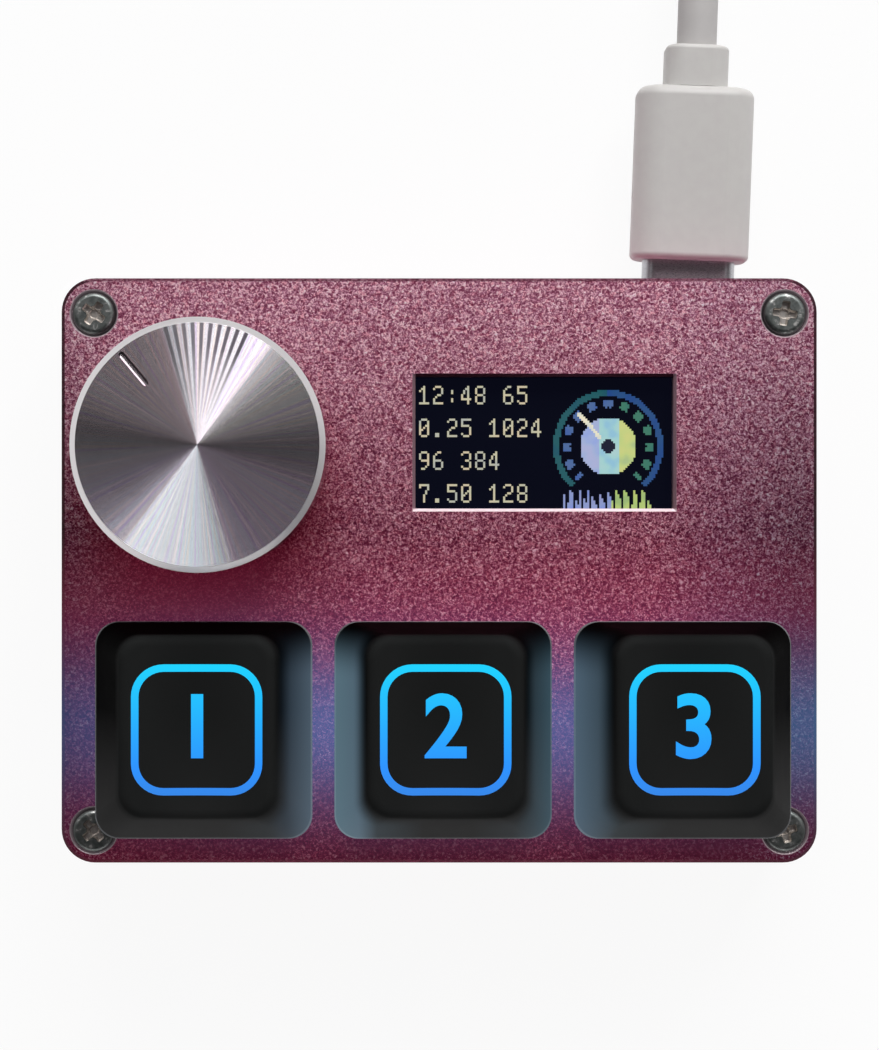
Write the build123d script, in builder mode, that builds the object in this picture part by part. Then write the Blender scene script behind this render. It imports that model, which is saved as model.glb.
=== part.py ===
from build123d import *
import os
from math import cos, pi, radians, sin, tan

os.makedirs("parts", exist_ok=True)

# A desktop keypad: three keys in a row in front, a rotary knob and a small display behind them,
# and a cable that plugs into the back. Millimetres, +X to the right, +Y to the back, +Z up.
# The origin is on the table, under the middle of the case.

# ---- Case ----
case_width = 65.0
case_depth = 50.3
case_height = 13.0
corner_radius = 2.9
plate_thickness = 1.5
wall_thickness = 2.5
floor_thickness = 2.0
plate_chamfer = 0.3
bottom_chamfer = 0.6
seam_chamfer = 0.15
lip_depth = 1.5
lip_thickness = 1.2
lip_clearance = 0.15
inner_corner = 1.0

# ---- Feet ----
foot_diameter = 8.0
foot_thickness = 2.0
foot_recess = 0.5
foot_inset = 8.0
foot_clearance = 0.05
foot_round = 0.4

# ---- Case screws, M2 pan head ----
screw_inset = 2.8
screw_inset_back = 3.05
screw_shank = 1.96
screw_hole = 2.0
screw_length = 7.0
screw_hole_spare = 0.5
screw_head = 3.7
screw_head_height = 1.3
screw_dome = 0.45
screw_counterbore = 3.96
screw_counterbore_depth = 1.0
screw_counterbore_chamfer = 0.1
screw_cross_length = 2.15
screw_cross_width = 0.72
screw_cross_round = 0.18
screw_cross_depth = 0.6
screw_cross_taper = 14
screw_pit_diameter = 1.3
screw_pit_depth = 0.85
screw_pit_taper = 20
screw_cross_turns = {(-1, 1): -35, (1, 1): -8, (-1, -1): 42, (1, -1): 15}
boss_diameter = 5.0

# ---- Circuit board ----
board_thickness = 1.6
board_clearance = 0.4
post_diameter = 4.4
post_inset = 0.5
post_row_y = -1.0
left_post_x = -8.0
right_post_x = 12.5
board_screw_head = 3.5
board_screw_head_height = 1.2
board_screw_length = 5.0
controller_place = (-3.0, 8.0)
controller_size = (7.0, 7.0, 0.9)
memory_place = (-11.0, 9.0)
memory_size = (5.0, 4.0, 1.0)
crystal_place = (-3.0, 14.6)
crystal_size = (3.2, 2.5, 0.8)
regulator_place = (13.0, 13.5)
regulator_size = (3.0, 1.7, 1.1)
surge_guard_place = (12.6, 9.0)
surge_guard_size = (2.9, 1.6, 1.1)
resistor_row = (2.6, 5.2)
resistor_size = (1.0, 1.6, 0.6)
resistor_pitch = 2.3
capacitor_row = (6.6, 8.2)
capacitor_size = (1.6, 0.8, 0.6)

# ---- Key switches ----
key_pitch = 20.1
key_row_x = 0.2
key_row_y = -13.3
switch_cutout = 14.0
switch_clearance = 0.05
switch_seat = 5.0
switch_flange = 15.6
switch_flange_thickness = 0.7
switch_height = 6.6
switch_cover_bottom = 14.4
switch_cover_top = 11.0
switch_wall = 1.0
switch_floor = 0.8
switch_well = 9.0
switch_body_corner = 0.4
switch_cover_corner = 0.8
switch_cover_narrowing = 0.6
slider_width = 7.0
slider_depth = 5.8
slider_wing = 8.6
slider_wing_depth = 4.0
slider_clearance = 0.2
slider_drop = 5.2
slider_stop_gap = 0.1
cross_span = 4.05
cross_bar_wide = 1.25
cross_bar_narrow = 1.1
cross_height = 3.6
pole_diameter = 3.2
pole_clearance = 0.2
magnet_diameter = 2.2
magnet_length = 3.0
spring_wire = 0.3
spring_diameter = 3.85
spring_turns = 7
spring_bore = 4.5
spring_pocket = 3.3
key_travel = 4.0
light_width = 3.2
light_depth = 2.0
light_height = 0.8
light_offset = 5.3
light_clearance = 0.4
sensor_size = (2.9, 1.6, 1.0)

# ---- Keycaps ----
cap_base = 18.25
cap_top_width = 12.3
cap_top_depth = 14.4
cap_top_shift = 0.95
cap_height = 9.4
cap_pressed_gap = 1.6
cap_corner = 2.0
cap_inner_corner = 0.8
cap_wall = 1.3
cap_roof = 2.1
cap_dish_depth = 0.7
cap_edge_round = 0.8
cap_socket_diameter = 5.6
cap_socket_gap = 0.2
cap_socket_clearance = 0.02

# ---- Rotary encoder and knob ----
knob_x = -19.85
knob_y = 10.4
encoder_size = 12.0
encoder_height = 5.7
encoder_floor = 0.8
encoder_cover_thickness = 0.8
encoder_tab_width = 2.4
encoder_tab_thickness = 0.5
encoder_tab_length = 4.6
encoder_opening = 13.6
encoder_opening_corner = 0.8
encoder_corner = 0.4
bushing_wall = 0.45
bushing_length = 5.0
bushing_chamfer = 0.25
shaft_diameter = 6.0
shaft_clearance = 0.05
shaft_flat = 1.5
shaft_top_above_plate = 13.3
shaft_collar_step = 0.5
shaft_collar_height = 0.6
shaft_well_clearance = 0.3
rotor_diameter = 9.8
rotor_thickness = 3.0
rotor_clearance = 0.1
dome_height = 0.8
dome_diameter = 5.0
push_travel = 0.5
knob_diameter = 20.7
knob_top_above_plate = 15.0
knob_gap = 1.2
knob_chamfer = 0.48
knob_skirt_bore = 17.6
knob_bushing_clearance = 0.5
knob_bore_clearance = 0.02
knob_running_gap = 0.3
pointer_turn = 40
pointer_inner = 6.25
pointer_outer = 9.7
pointer_width = 0.5
pointer_depth = 0.3
set_screw_diameter = 3.0
set_screw_clearance = 0.02
set_screw_length = 5.0
set_screw_below_top = 5.6
set_screw_hex = 1.5
set_screw_hex_depth = 2.0

# ---- Display ----
window_width = 22.2
window_depth = 11.35
window_x = 9.05
window_y = 11.0
window_chamfer = 0.25
glass_width = 27.0
glass_depth = 13.4
glass_thickness = 0.9
glass_shift = 1.7
backlight_width = 25.4
backlight_thickness = 1.0
backlight_corner = 0.5
gasket_thickness = 0.4
gasket_border = 1.6
gasket_setback = 0.3
pad_inset = 1.2
flex_width = 8.0
flex_thickness = 0.15
flex_overlap = 1.0
flex_reach = 3.4
flex_step = 0.5
flex_bend = 0.2
connector_width = 10.0
connector_depth = 2.4
connector_height = 1.0

# ---- USB-C socket and plug ----
usb_x = 22.15
usb_mouth_inset = 0.5
socket_width = 8.94
socket_height = 3.26
socket_depth = 7.35
socket_wall = 0.27
socket_slot_clearance = 0.15
tongue_width = 6.7
tongue_thickness = 0.7
tongue_length = 4.6
tongue_base = 1.3
tongue_clearance = 0.05
plug_turn = 2.2
plug_shell_width = 8.22
plug_shell_height = 2.4
plug_shell_wall = 0.3
plug_shell_length = 6.65
plug_shell_shown = 2.7
plug_body_width = 10.4
plug_body_height = 6.2
plug_body_length = 15.3
plug_body_corner = 2.4
plug_body_front_round = 0.5
plug_body_back_round = 0.9
collar_width = 5.6
collar_height = 4.9
collar_length = 3.7
collar_corner = 1.6
collar_end_round = 0.4

# ---- Cord, about a metre of it ----
cord_diameter = 3.55
straight_exit = 4.6
coil_turn_radii = (25.1, 21.5, 17.9, 14.3)
coil_layers = 2
coil_centre = (-1.5, 91.0)
coil_round = 1.2
tie_width = 7.0
tie_thickness = 0.7
tie_angle = 200
far_body = (16.0, 22.0, 8.0)
far_body_round = 2.0
far_collar_length = 6.0
far_collar_diameter = 6.0
far_shell = (12.0, 12.0, 4.5)
far_shell_wall = 0.3
far_tongue = (11.2, 9.6, 1.8)

# ---- Heights that follow ----
case_bottom = foot_thickness - foot_recess
plate_top = case_bottom + case_height
plate_bottom = plate_top - plate_thickness
board_top = plate_top - switch_seat
board_bottom = board_top - board_thickness
cavity_floor = case_bottom + floor_thickness

# ---- Places that follow ----
inner_width = case_width - 2 * wall_thickness
inner_depth = case_depth - 2 * wall_thickness
screw_x = case_width / 2 - screw_inset
screw_rows = {-1: screw_inset - case_depth / 2, 1: case_depth / 2 - screw_inset_back}
corners = [(-1, -1), (1, -1), (-1, 1), (1, 1)]
screw_places = [(sx * screw_x, screw_rows[sy]) for sx, sy in corners]
foot_places = [(sx * (case_width / 2 - foot_inset), sy * (case_depth / 2 - foot_inset)) for sx, sy in corners]
key_places = [(key_row_x + number * key_pitch, key_row_y) for number in (-1, 0, 1)]
side_post = inner_width / 2 - post_diameter / 2 - post_inset
back_post = inner_depth / 2 - post_diameter / 2 - post_inset
post_places = [
    (-side_post, post_row_y),
    (side_post, post_row_y),
    (left_post_x, back_post),
    (right_post_x, back_post),
]


def save(piece, name):
    """Label a finished piece and write its file."""
    piece.part.label = name
    export_step(piece.part, f"parts/{name}.step")


def at(places, height):
    """The same places, at a height."""
    return [(x, y, height) for x, y in places]


# ======== Case ========

# Top plate: a flat aluminium sheet with a locating lip that drops inside the bottom case.
with BuildPart() as top_plate:
    with BuildSketch(Plane.XY.offset(plate_bottom)):
        RectangleRounded(case_width, case_depth, corner_radius)
    extrude(amount=plate_thickness)
    chamfer(top_plate.faces().sort_by(Axis.Z)[-1].edges(), plate_chamfer)
    chamfer(top_plate.faces().sort_by(Axis.Z)[0].edges(), seam_chamfer)
    lip_width = inner_width - 2 * lip_clearance
    lip_length = inner_depth - 2 * lip_clearance
    with BuildSketch(Plane.XY.offset(plate_bottom)):
        RectangleRounded(lip_width, lip_length, inner_corner)
        Rectangle(lip_width - 2 * lip_thickness, lip_length - 2 * lip_thickness, mode=Mode.SUBTRACT)
        with Locations(*screw_places):
            Circle(boss_diameter / 2 + lip_clearance, mode=Mode.SUBTRACT)
    extrude(amount=-lip_depth)
    with BuildSketch(Plane.XY.offset(plate_top)):
        with Locations(*key_places):
            Rectangle(switch_cutout, switch_cutout)
        with Locations((knob_x, knob_y)):
            RectangleRounded(encoder_opening, encoder_opening, encoder_opening_corner)
        with Locations((window_x, window_y)):
            Rectangle(window_width, window_depth)
    extrude(amount=-plate_thickness, mode=Mode.SUBTRACT)
    with BuildSketch(Plane.XY.offset(plate_top)):
        with Locations((window_x, window_y)):
            Rectangle(window_width + 2 * window_chamfer, window_depth + 2 * window_chamfer)
    extrude(amount=-window_chamfer, taper=45, mode=Mode.SUBTRACT)
    with Locations(*at(screw_places, plate_top)):
        CounterBoreHole(screw_hole / 2, screw_counterbore / 2, screw_counterbore_depth, plate_thickness)
    with BuildSketch(Plane.XY.offset(plate_top)):
        with Locations(*screw_places):
            Circle(screw_counterbore / 2 + screw_counterbore_chamfer)
    extrude(amount=-screw_counterbore_chamfer, taper=45, mode=Mode.SUBTRACT)
save(top_plate, "top_plate")

# Bottom case: a tray with four screw bosses in its corners and four posts that carry the board.
usb_z = board_bottom - socket_height / 2
back_face = Plane(origin=(usb_x, case_depth / 2, usb_z), x_dir=(-1, 0, 0), z_dir=(0, 1, 0))
with BuildPart() as bottom_case:
    with BuildSketch(Plane.XY.offset(case_bottom)):
        RectangleRounded(case_width, case_depth, corner_radius)
    extrude(amount=case_height - plate_thickness)
    chamfer(bottom_case.faces().sort_by(Axis.Z)[0].edges(), bottom_chamfer)
    chamfer(bottom_case.faces().sort_by(Axis.Z)[-1].edges(), seam_chamfer)
    with BuildSketch(Plane.XY.offset(cavity_floor)):
        RectangleRounded(inner_width, inner_depth, inner_corner)
    extrude(amount=plate_bottom - cavity_floor, mode=Mode.SUBTRACT)
    with BuildSketch(Plane.XY.offset(cavity_floor)):
        with Locations(*screw_places):
            Circle(boss_diameter / 2)
    extrude(amount=plate_bottom - cavity_floor)
    with BuildSketch(Plane.XY.offset(cavity_floor)):
        with Locations(*post_places):
            Circle(post_diameter / 2)
    extrude(amount=board_bottom - cavity_floor)
    with Locations(*at(screw_places, plate_bottom)):
        Hole(screw_hole / 2, screw_length + screw_hole_spare)
    with Locations(*at(post_places, board_bottom)):
        Hole(screw_hole / 2, board_bottom - cavity_floor)
    with BuildSketch(Plane.XY.offset(case_bottom)):
        with Locations(*foot_places):
            Circle(foot_diameter / 2 + foot_clearance)
    extrude(amount=foot_recess, mode=Mode.SUBTRACT)
    with BuildSketch(back_face):
        SlotOverall(socket_width + 2 * socket_slot_clearance, socket_height + 2 * socket_slot_clearance)
    extrude(amount=-wall_thickness, mode=Mode.SUBTRACT)
save(bottom_case, "bottom_case")

# Case screws: pan heads with a cross recess, each left at its own angle.
screw_seat = plate_top - screw_counterbore_depth
with BuildPart() as case_screws:
    with BuildSketch(Plane.XY.offset(screw_seat)):
        with Locations(*screw_places):
            Circle(screw_head / 2)
    extrude(amount=screw_head_height)
    fillet(case_screws.faces().group_by(Axis.Z)[-1].edges(), screw_dome)
    with BuildSketch(Plane.XY.offset(screw_seat)):
        with Locations(*screw_places):
            Circle(screw_shank / 2)
    extrude(amount=-(screw_length + plate_thickness - screw_counterbore_depth))
    with BuildSketch(Plane.XY.offset(screw_seat + screw_head_height)) as recess:
        for (sx, sy), turn in screw_cross_turns.items():
            with Locations(Location((sx * screw_x, screw_rows[sy]), turn)):
                Rectangle(screw_cross_length, screw_cross_width)
                Rectangle(screw_cross_width, screw_cross_length)
        fillet(recess.vertices(), screw_cross_round)
    extrude(amount=-screw_cross_depth, taper=screw_cross_taper, mode=Mode.SUBTRACT)
    with BuildSketch(Plane.XY.offset(screw_seat + screw_head_height)):
        with Locations(*screw_places):
            Circle(screw_pit_diameter / 2)
    extrude(amount=-screw_pit_depth, taper=screw_pit_taper, mode=Mode.SUBTRACT)
save(case_screws, "case_screws")

# Rubber feet, glued into shallow recesses under the bottom case.
with BuildPart() as rubber_feet:
    with BuildSketch():
        with Locations(*foot_places):
            Circle(foot_diameter / 2)
    extrude(amount=foot_thickness)
    fillet(rubber_feet.faces().group_by(Axis.Z)[0].edges(), foot_round)
save(rubber_feet, "rubber_feet")

# ======== Circuit board ========

board_width = inner_width - 2 * board_clearance
board_depth = inner_depth - 2 * board_clearance
with BuildPart() as circuit_board:
    with BuildSketch(Plane.XY.offset(board_bottom)):
        Rectangle(board_width, board_depth)
        with Locations(*screw_places):
            Circle(boss_diameter / 2 + board_clearance, mode=Mode.SUBTRACT)
        with Locations(*post_places):
            Circle(screw_hole / 2, mode=Mode.SUBTRACT)
    extrude(amount=board_thickness)
save(circuit_board, "circuit_board")

with BuildPart() as board_screws:
    with BuildSketch(Plane.XY.offset(board_top)):
        with Locations(*post_places):
            Circle(board_screw_head / 2)
    extrude(amount=board_screw_head_height)
    with BuildSketch(Plane.XY.offset(board_top)):
        with Locations(*post_places):
            Circle(screw_shank / 2)
    extrude(amount=-board_screw_length)
    with BuildSketch(Plane.XY.offset(board_top + board_screw_head_height)):
        for x, y in post_places:
            with Locations(Location((x, y), x)):
                Rectangle(screw_cross_length, screw_cross_width)
                Rectangle(screw_cross_width, screw_cross_length)
    extrude(amount=-screw_cross_depth, taper=screw_cross_taper, mode=Mode.SUBTRACT)
save(board_screws, "board_screws")


def hung_box(x, y, size):
    """A chip that is soldered under the board."""
    with Locations((x, y, board_bottom)):
        Box(*size, align=(Align.CENTER, Align.CENTER, Align.MAX))


with BuildPart() as controller_chip:
    hung_box(*controller_place, controller_size)
save(controller_chip, "controller_chip")

with BuildPart() as board_components:
    hung_box(*memory_place, memory_size)
    hung_box(*crystal_place, crystal_size)
    hung_box(*regulator_place, regulator_size)
    hung_box(*surge_guard_place, surge_guard_size)
    for number in range(4):
        hung_box(resistor_row[0] + number * resistor_pitch, resistor_row[1], resistor_size)
        hung_box(capacitor_row[0], capacitor_row[1] + number * resistor_pitch, capacitor_size)
save(board_components, "board_components")

with BuildPart() as key_sensors:
    for x, y in key_places:
        hung_box(x, y, sensor_size)
save(key_sensors, "key_sensors")

with BuildPart() as key_lights:
    with Locations(*[(x, y + light_offset, board_top) for x, y in key_places]):
        Box(light_width, light_depth, light_height, align=(Align.CENTER, Align.CENTER, Align.MIN))
save(key_lights, "key_lights")

# ======== USB-C socket ========

mouth_y = case_depth / 2 - usb_mouth_inset
socket_mouth = Plane(origin=(usb_x, mouth_y, usb_z), x_dir=(-1, 0, 0), z_dir=(0, 1, 0))
socket_inner_width = socket_width - 2 * socket_wall
socket_inner_height = socket_height - 2 * socket_wall
with BuildPart() as usb_socket_shell:
    with BuildSketch(socket_mouth):
        SlotOverall(socket_width, socket_height)
    extrude(amount=-socket_depth)
    with BuildSketch(socket_mouth):
        SlotOverall(socket_inner_width, socket_inner_height)
    extrude(amount=-(socket_depth - socket_wall), mode=Mode.SUBTRACT)
save(usb_socket_shell, "usb_socket_shell")

with BuildPart() as usb_socket_tongue:
    with BuildSketch(socket_mouth.offset(-(socket_depth - socket_wall))):
        SlotOverall(socket_inner_width - 2 * tongue_clearance, socket_inner_height - 2 * tongue_clearance)
    extrude(amount=tongue_base)
    with BuildSketch(socket_mouth.offset(-(socket_depth - socket_wall - tongue_base))):
        Rectangle(tongue_width, tongue_thickness)
    extrude(amount=tongue_length)
save(usb_socket_tongue, "usb_socket_tongue")

# ======== Key switches and keycaps ========

switch_body = switch_cutout - 2 * switch_clearance
flange_top = plate_top + switch_flange_thickness
cover_top = plate_top + switch_height
well_floor = board_top + switch_floor
slider_bottom = cover_top - slider_drop
wing_top = cover_top - switch_wall - slider_stop_gap
pole_bottom = well_floor + key_travel + pole_clearance
pole_length = cover_top - pole_bottom
spring_top = slider_bottom + spring_pocket
cap_bottom = plate_top + cap_pressed_gap + key_travel
cap_top = cap_bottom + cap_height
light_slot_width = light_width + 2 * light_clearance
light_slot_depth = light_depth + 2 * light_clearance


def switch_base(x, y):
    """Lower housing: clipped into the plate, with a well for the slider and a slot for the light."""
    with BuildPart() as base:
        with BuildSketch(Plane.XY.offset(board_top)):
            with Locations((x, y)):
                RectangleRounded(switch_body, switch_body, switch_body_corner)
        extrude(amount=switch_seat)
        with BuildSketch(Plane.XY.offset(plate_top)):
            with Locations((x, y)):
                RectangleRounded(switch_flange, switch_flange, switch_cover_corner)
        extrude(amount=switch_flange_thickness)
        with BuildSketch(Plane.XY.offset(well_floor)):
            with Locations((x, y)):
                Rectangle(switch_well, switch_well)
        extrude(amount=flange_top - well_floor, mode=Mode.SUBTRACT)
        with BuildSketch(Plane.XY.offset(board_top)):
            with Locations((x, y + light_offset)):
                Rectangle(light_slot_width, light_slot_depth)
        extrude(amount=flange_top - board_top, mode=Mode.SUBTRACT)
    return base


def switch_cover(x, y):
    """Upper housing: a hollow tapered hood that the slider comes up through."""
    inner_bottom = switch_cover_bottom - 2 * switch_wall
    inner_top = switch_cover_top - 2 * switch_wall
    cover_top_depth = switch_cover_top - switch_cover_narrowing
    with BuildPart() as cover:
        with BuildSketch(Plane.XY.offset(flange_top)):
            with Locations((x, y)):
                RectangleRounded(switch_cover_bottom, switch_cover_bottom, switch_cover_corner)
        with BuildSketch(Plane.XY.offset(cover_top)):
            with Locations((x, y)):
                RectangleRounded(switch_cover_top, cover_top_depth, switch_cover_corner)
        loft()
        with BuildSketch(Plane.XY.offset(flange_top)):
            with Locations((x, y)):
                Rectangle(inner_bottom, inner_bottom)
        with BuildSketch(Plane.XY.offset(cover_top - switch_wall)):
            with Locations((x, y)):
                Rectangle(inner_top, inner_top - switch_cover_narrowing)
        loft(mode=Mode.SUBTRACT)
        with BuildSketch(Plane.XY.offset(cover_top)):
            with Locations((x, y)):
                Rectangle(slider_width + 2 * slider_clearance, slider_depth + 2 * slider_clearance)
        extrude(amount=-2 * switch_wall, mode=Mode.SUBTRACT)
    return cover


def switch_stem(x, y):
    """Slider: a block with side wings, a pole that guides the spring, and the cross the cap fits on."""
    with BuildPart() as stem:
        with BuildSketch(Plane.XY.offset(slider_bottom)):
            with Locations((x, y)):
                Rectangle(slider_width, slider_depth)
        extrude(amount=slider_drop)
        with BuildSketch(Plane.XY.offset(slider_bottom)):
            with Locations((x, y)):
                Rectangle(slider_wing, slider_wing_depth)
        extrude(amount=wing_top - slider_bottom)
        with BuildSketch(Plane.XY.offset(slider_bottom)):
            with Locations((x, y)):
                Circle(spring_bore / 2)
        extrude(amount=spring_pocket, mode=Mode.SUBTRACT)
        with BuildSketch(Plane.XY.offset(pole_bottom)):
            with Locations((x, y)):
                Circle(pole_diameter / 2)
        extrude(amount=pole_length)
        with BuildSketch(Plane.XY.offset(pole_bottom)):
            with Locations((x, y)):
                Circle(magnet_diameter / 2)
        extrude(amount=magnet_length, mode=Mode.SUBTRACT)
        with BuildSketch(Plane.XY.offset(cover_top)):
            with Locations((x, y)):
                Rectangle(cross_span, cross_bar_narrow)
                Rectangle(cross_bar_wide, cross_span)
        extrude(amount=cross_height)
    return stem


def switch_magnet(x, y):
    """Magnet that the sensor under the board reads."""
    with BuildPart() as magnet:
        with BuildSketch(Plane.XY.offset(pole_bottom)):
            with Locations((x, y)):
                Circle(magnet_diameter / 2)
        extrude(amount=magnet_length)
    return magnet


def switch_spring(x, y):
    """Return spring: from the floor of the well up into the slider's pocket, around the pole."""
    coil_height = spring_top - well_floor - spring_wire
    with BuildPart() as spring:
        with BuildLine() as centre_line:
            Helix(coil_height / spring_turns, coil_height, spring_diameter / 2,
                  center=(x, y, well_floor + spring_wire / 2))
        with BuildSketch(Plane(origin=centre_line.line @ 0, z_dir=centre_line.line % 0)):
            Circle(spring_wire / 2)
        sweep(path=centre_line.line, is_frenet=True)
    return spring


def keycap(x, y):
    """Keycap: a tapered hollow shell with a dished top and a socket for the cross."""
    ceiling = cap_top - cap_roof
    dish_radius = ((cap_top_width / 2) ** 2 + cap_dish_depth**2) / (2 * cap_dish_depth)
    with BuildPart() as cap:
        with BuildSketch(Plane.XY.offset(cap_bottom)):
            with Locations((x, y)):
                RectangleRounded(cap_base, cap_base, cap_corner)
        with BuildSketch(Plane.XY.offset(cap_top)):
            with Locations((x, y + cap_top_shift)):
                RectangleRounded(cap_top_width, cap_top_depth, cap_corner)
        loft()
        with BuildSketch(Plane.XZ.offset(-(y + cap_base))):
            with Locations((x, cap_top - cap_dish_depth + dish_radius)):
                Circle(dish_radius)
        extrude(amount=2 * cap_base, mode=Mode.SUBTRACT)
        dish_rim = cap.edges().filter_by_position(Axis.Z, cap_top - 1.5 * cap_dish_depth, cap_top)
        fillet(dish_rim, cap_edge_round)
        with BuildSketch(Plane.XY.offset(cap_bottom)):
            with Locations((x, y)):
                RectangleRounded(cap_base - 2 * cap_wall, cap_base - 2 * cap_wall, cap_inner_corner)
        with BuildSketch(Plane.XY.offset(ceiling)):
            with Locations((x, y + cap_top_shift)):
                RectangleRounded(cap_top_width - 2 * cap_wall, cap_top_depth - 2 * cap_wall, cap_inner_corner)
        loft(mode=Mode.SUBTRACT)
        socket_bottom = cover_top + cap_socket_gap
        with BuildSketch(Plane.XY.offset(socket_bottom)):
            with Locations((x, y)):
                Circle(cap_socket_diameter / 2)
        extrude(amount=ceiling - socket_bottom)
        with BuildSketch(Plane.XY.offset(socket_bottom)):
            with Locations((x, y)):
                Rectangle(cross_span + 2 * cap_socket_clearance, cross_bar_narrow + 2 * cap_socket_clearance)
                Rectangle(cross_bar_wide + 2 * cap_socket_clearance, cross_span + 2 * cap_socket_clearance)
        extrude(amount=cross_height, mode=Mode.SUBTRACT)
    return cap


for number, (x, y) in enumerate(key_places, start=1):
    save(switch_base(x, y), f"switch_base_{number}")
    save(switch_cover(x, y), f"switch_cover_{number}")
    save(switch_stem(x, y), f"switch_stem_{number}")
    save(switch_magnet(x, y), f"switch_magnet_{number}")
    save(switch_spring(x, y), f"switch_spring_{number}")
    save(keycap(x, y), f"keycap_{number}")

# ======== Rotary encoder ========

encoder_top = board_top + encoder_height
ledge = encoder_top - rotor_clearance - rotor_thickness - rotor_clearance
encoder_cover_top = encoder_top + encoder_cover_thickness
bushing_top = encoder_cover_top + bushing_length
dome_bottom = board_top + encoder_floor
bushing_diameter = shaft_diameter + 2 * (shaft_clearance + bushing_wall)
shaft_collar = shaft_diameter + 2 * shaft_collar_step
shaft_well = shaft_collar + 2 * shaft_well_clearance
knob_bushing_bore = bushing_diameter + 2 * knob_bushing_clearance
shaft_bottom = dome_bottom + dome_height + shaft_clearance
shaft_top = plate_top + shaft_top_above_plate
flat_side = (-sin(radians(pointer_turn)), cos(radians(pointer_turn)))
axis_place = (knob_x, knob_y)


def d_section(radius, flat):
    """Round section with one flat, which faces the side of the set screw."""
    with Locations(axis_place):
        Circle(radius)
    reach = 2 * radius
    with Locations(Location((knob_x - flat_side[0] * (flat + reach / 2),
                             knob_y - flat_side[1] * (flat + reach / 2)), pointer_turn)):
        Rectangle(2 * reach, reach, mode=Mode.SUBTRACT)


with BuildPart() as encoder_base:
    with BuildSketch(Plane.XY.offset(board_top)):
        with Locations(axis_place):
            RectangleRounded(encoder_size, encoder_size, encoder_corner)
    extrude(amount=encoder_height)
    with BuildSketch(Plane.XY.offset(ledge)):
        with Locations(axis_place):
            Circle(rotor_diameter / 2 + 2 * rotor_clearance)
    extrude(amount=encoder_top - ledge, mode=Mode.SUBTRACT)
    with BuildSketch(Plane.XY.offset(dome_bottom)):
        with Locations(axis_place):
            Circle(shaft_well / 2)
    extrude(amount=encoder_top - dome_bottom, mode=Mode.SUBTRACT)
save(encoder_base, "encoder_base")

with BuildPart() as encoder_cover:
    with BuildSketch(Plane.XY.offset(encoder_top)):
        with Locations(axis_place):
            Rectangle(encoder_size, encoder_size + 2 * encoder_tab_thickness)
            Circle(shaft_diameter / 2 + shaft_clearance, mode=Mode.SUBTRACT)
        tab_side = (encoder_size + encoder_tab_thickness) / 2
        for side_x in (-1, 1):
            for side_y in (-1, 1):
                with Locations((knob_x + side_x * encoder_size / 2, knob_y + side_y * tab_side)):
                    Rectangle(encoder_tab_width, encoder_tab_thickness, mode=Mode.SUBTRACT)
    extrude(amount=encoder_cover_thickness)
    with BuildSketch(Plane.XY.offset(encoder_top)):
        for side_x in (-1, 1):
            for side_y in (-1, 1):
                with Locations((knob_x + side_x * encoder_tab_width, knob_y + side_y * tab_side)):
                    Rectangle(encoder_tab_width, encoder_tab_thickness)
    extrude(amount=-encoder_tab_length)
save(encoder_cover, "encoder_cover")

with BuildPart() as encoder_bushing:
    with BuildSketch(Plane.XY.offset(encoder_cover_top)):
        with Locations(axis_place):
            Circle(bushing_diameter / 2)
            Circle(shaft_diameter / 2 + shaft_clearance, mode=Mode.SUBTRACT)
    extrude(amount=bushing_length)
    chamfer(encoder_bushing.edges().group_by(Axis.Z)[-1].sort_by(SortBy.LENGTH)[-1], bushing_chamfer)
save(encoder_bushing, "encoder_bushing")

with BuildPart() as encoder_rotor:
    with BuildSketch(Plane.XY.offset(ledge + rotor_clearance)):
        with Locations(axis_place):
            Circle(rotor_diameter / 2)
    extrude(amount=rotor_thickness)
    with BuildSketch(Plane.XY.offset(ledge + rotor_clearance)):
        d_section(shaft_diameter / 2 + shaft_clearance, shaft_flat + shaft_clearance)
    extrude(amount=rotor_thickness, mode=Mode.SUBTRACT)
save(encoder_rotor, "encoder_rotor")

with BuildPart() as encoder_dome:
    with BuildSketch(Plane.XY.offset(dome_bottom)):
        with Locations(axis_place):
            Circle(dome_diameter / 2)
    extrude(amount=dome_height, taper=45)
save(encoder_dome, "encoder_dome")

with BuildPart() as encoder_shaft:
    with BuildSketch(Plane.XY.offset(shaft_bottom)):
        with Locations(axis_place):
            Circle(shaft_collar / 2)
    extrude(amount=shaft_collar_height)
    with BuildSketch(Plane.XY.offset(shaft_bottom + shaft_collar_height)):
        d_section(shaft_diameter / 2, shaft_flat)
    extrude(amount=shaft_top - shaft_bottom - shaft_collar_height)
save(encoder_shaft, "encoder_shaft")

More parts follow.
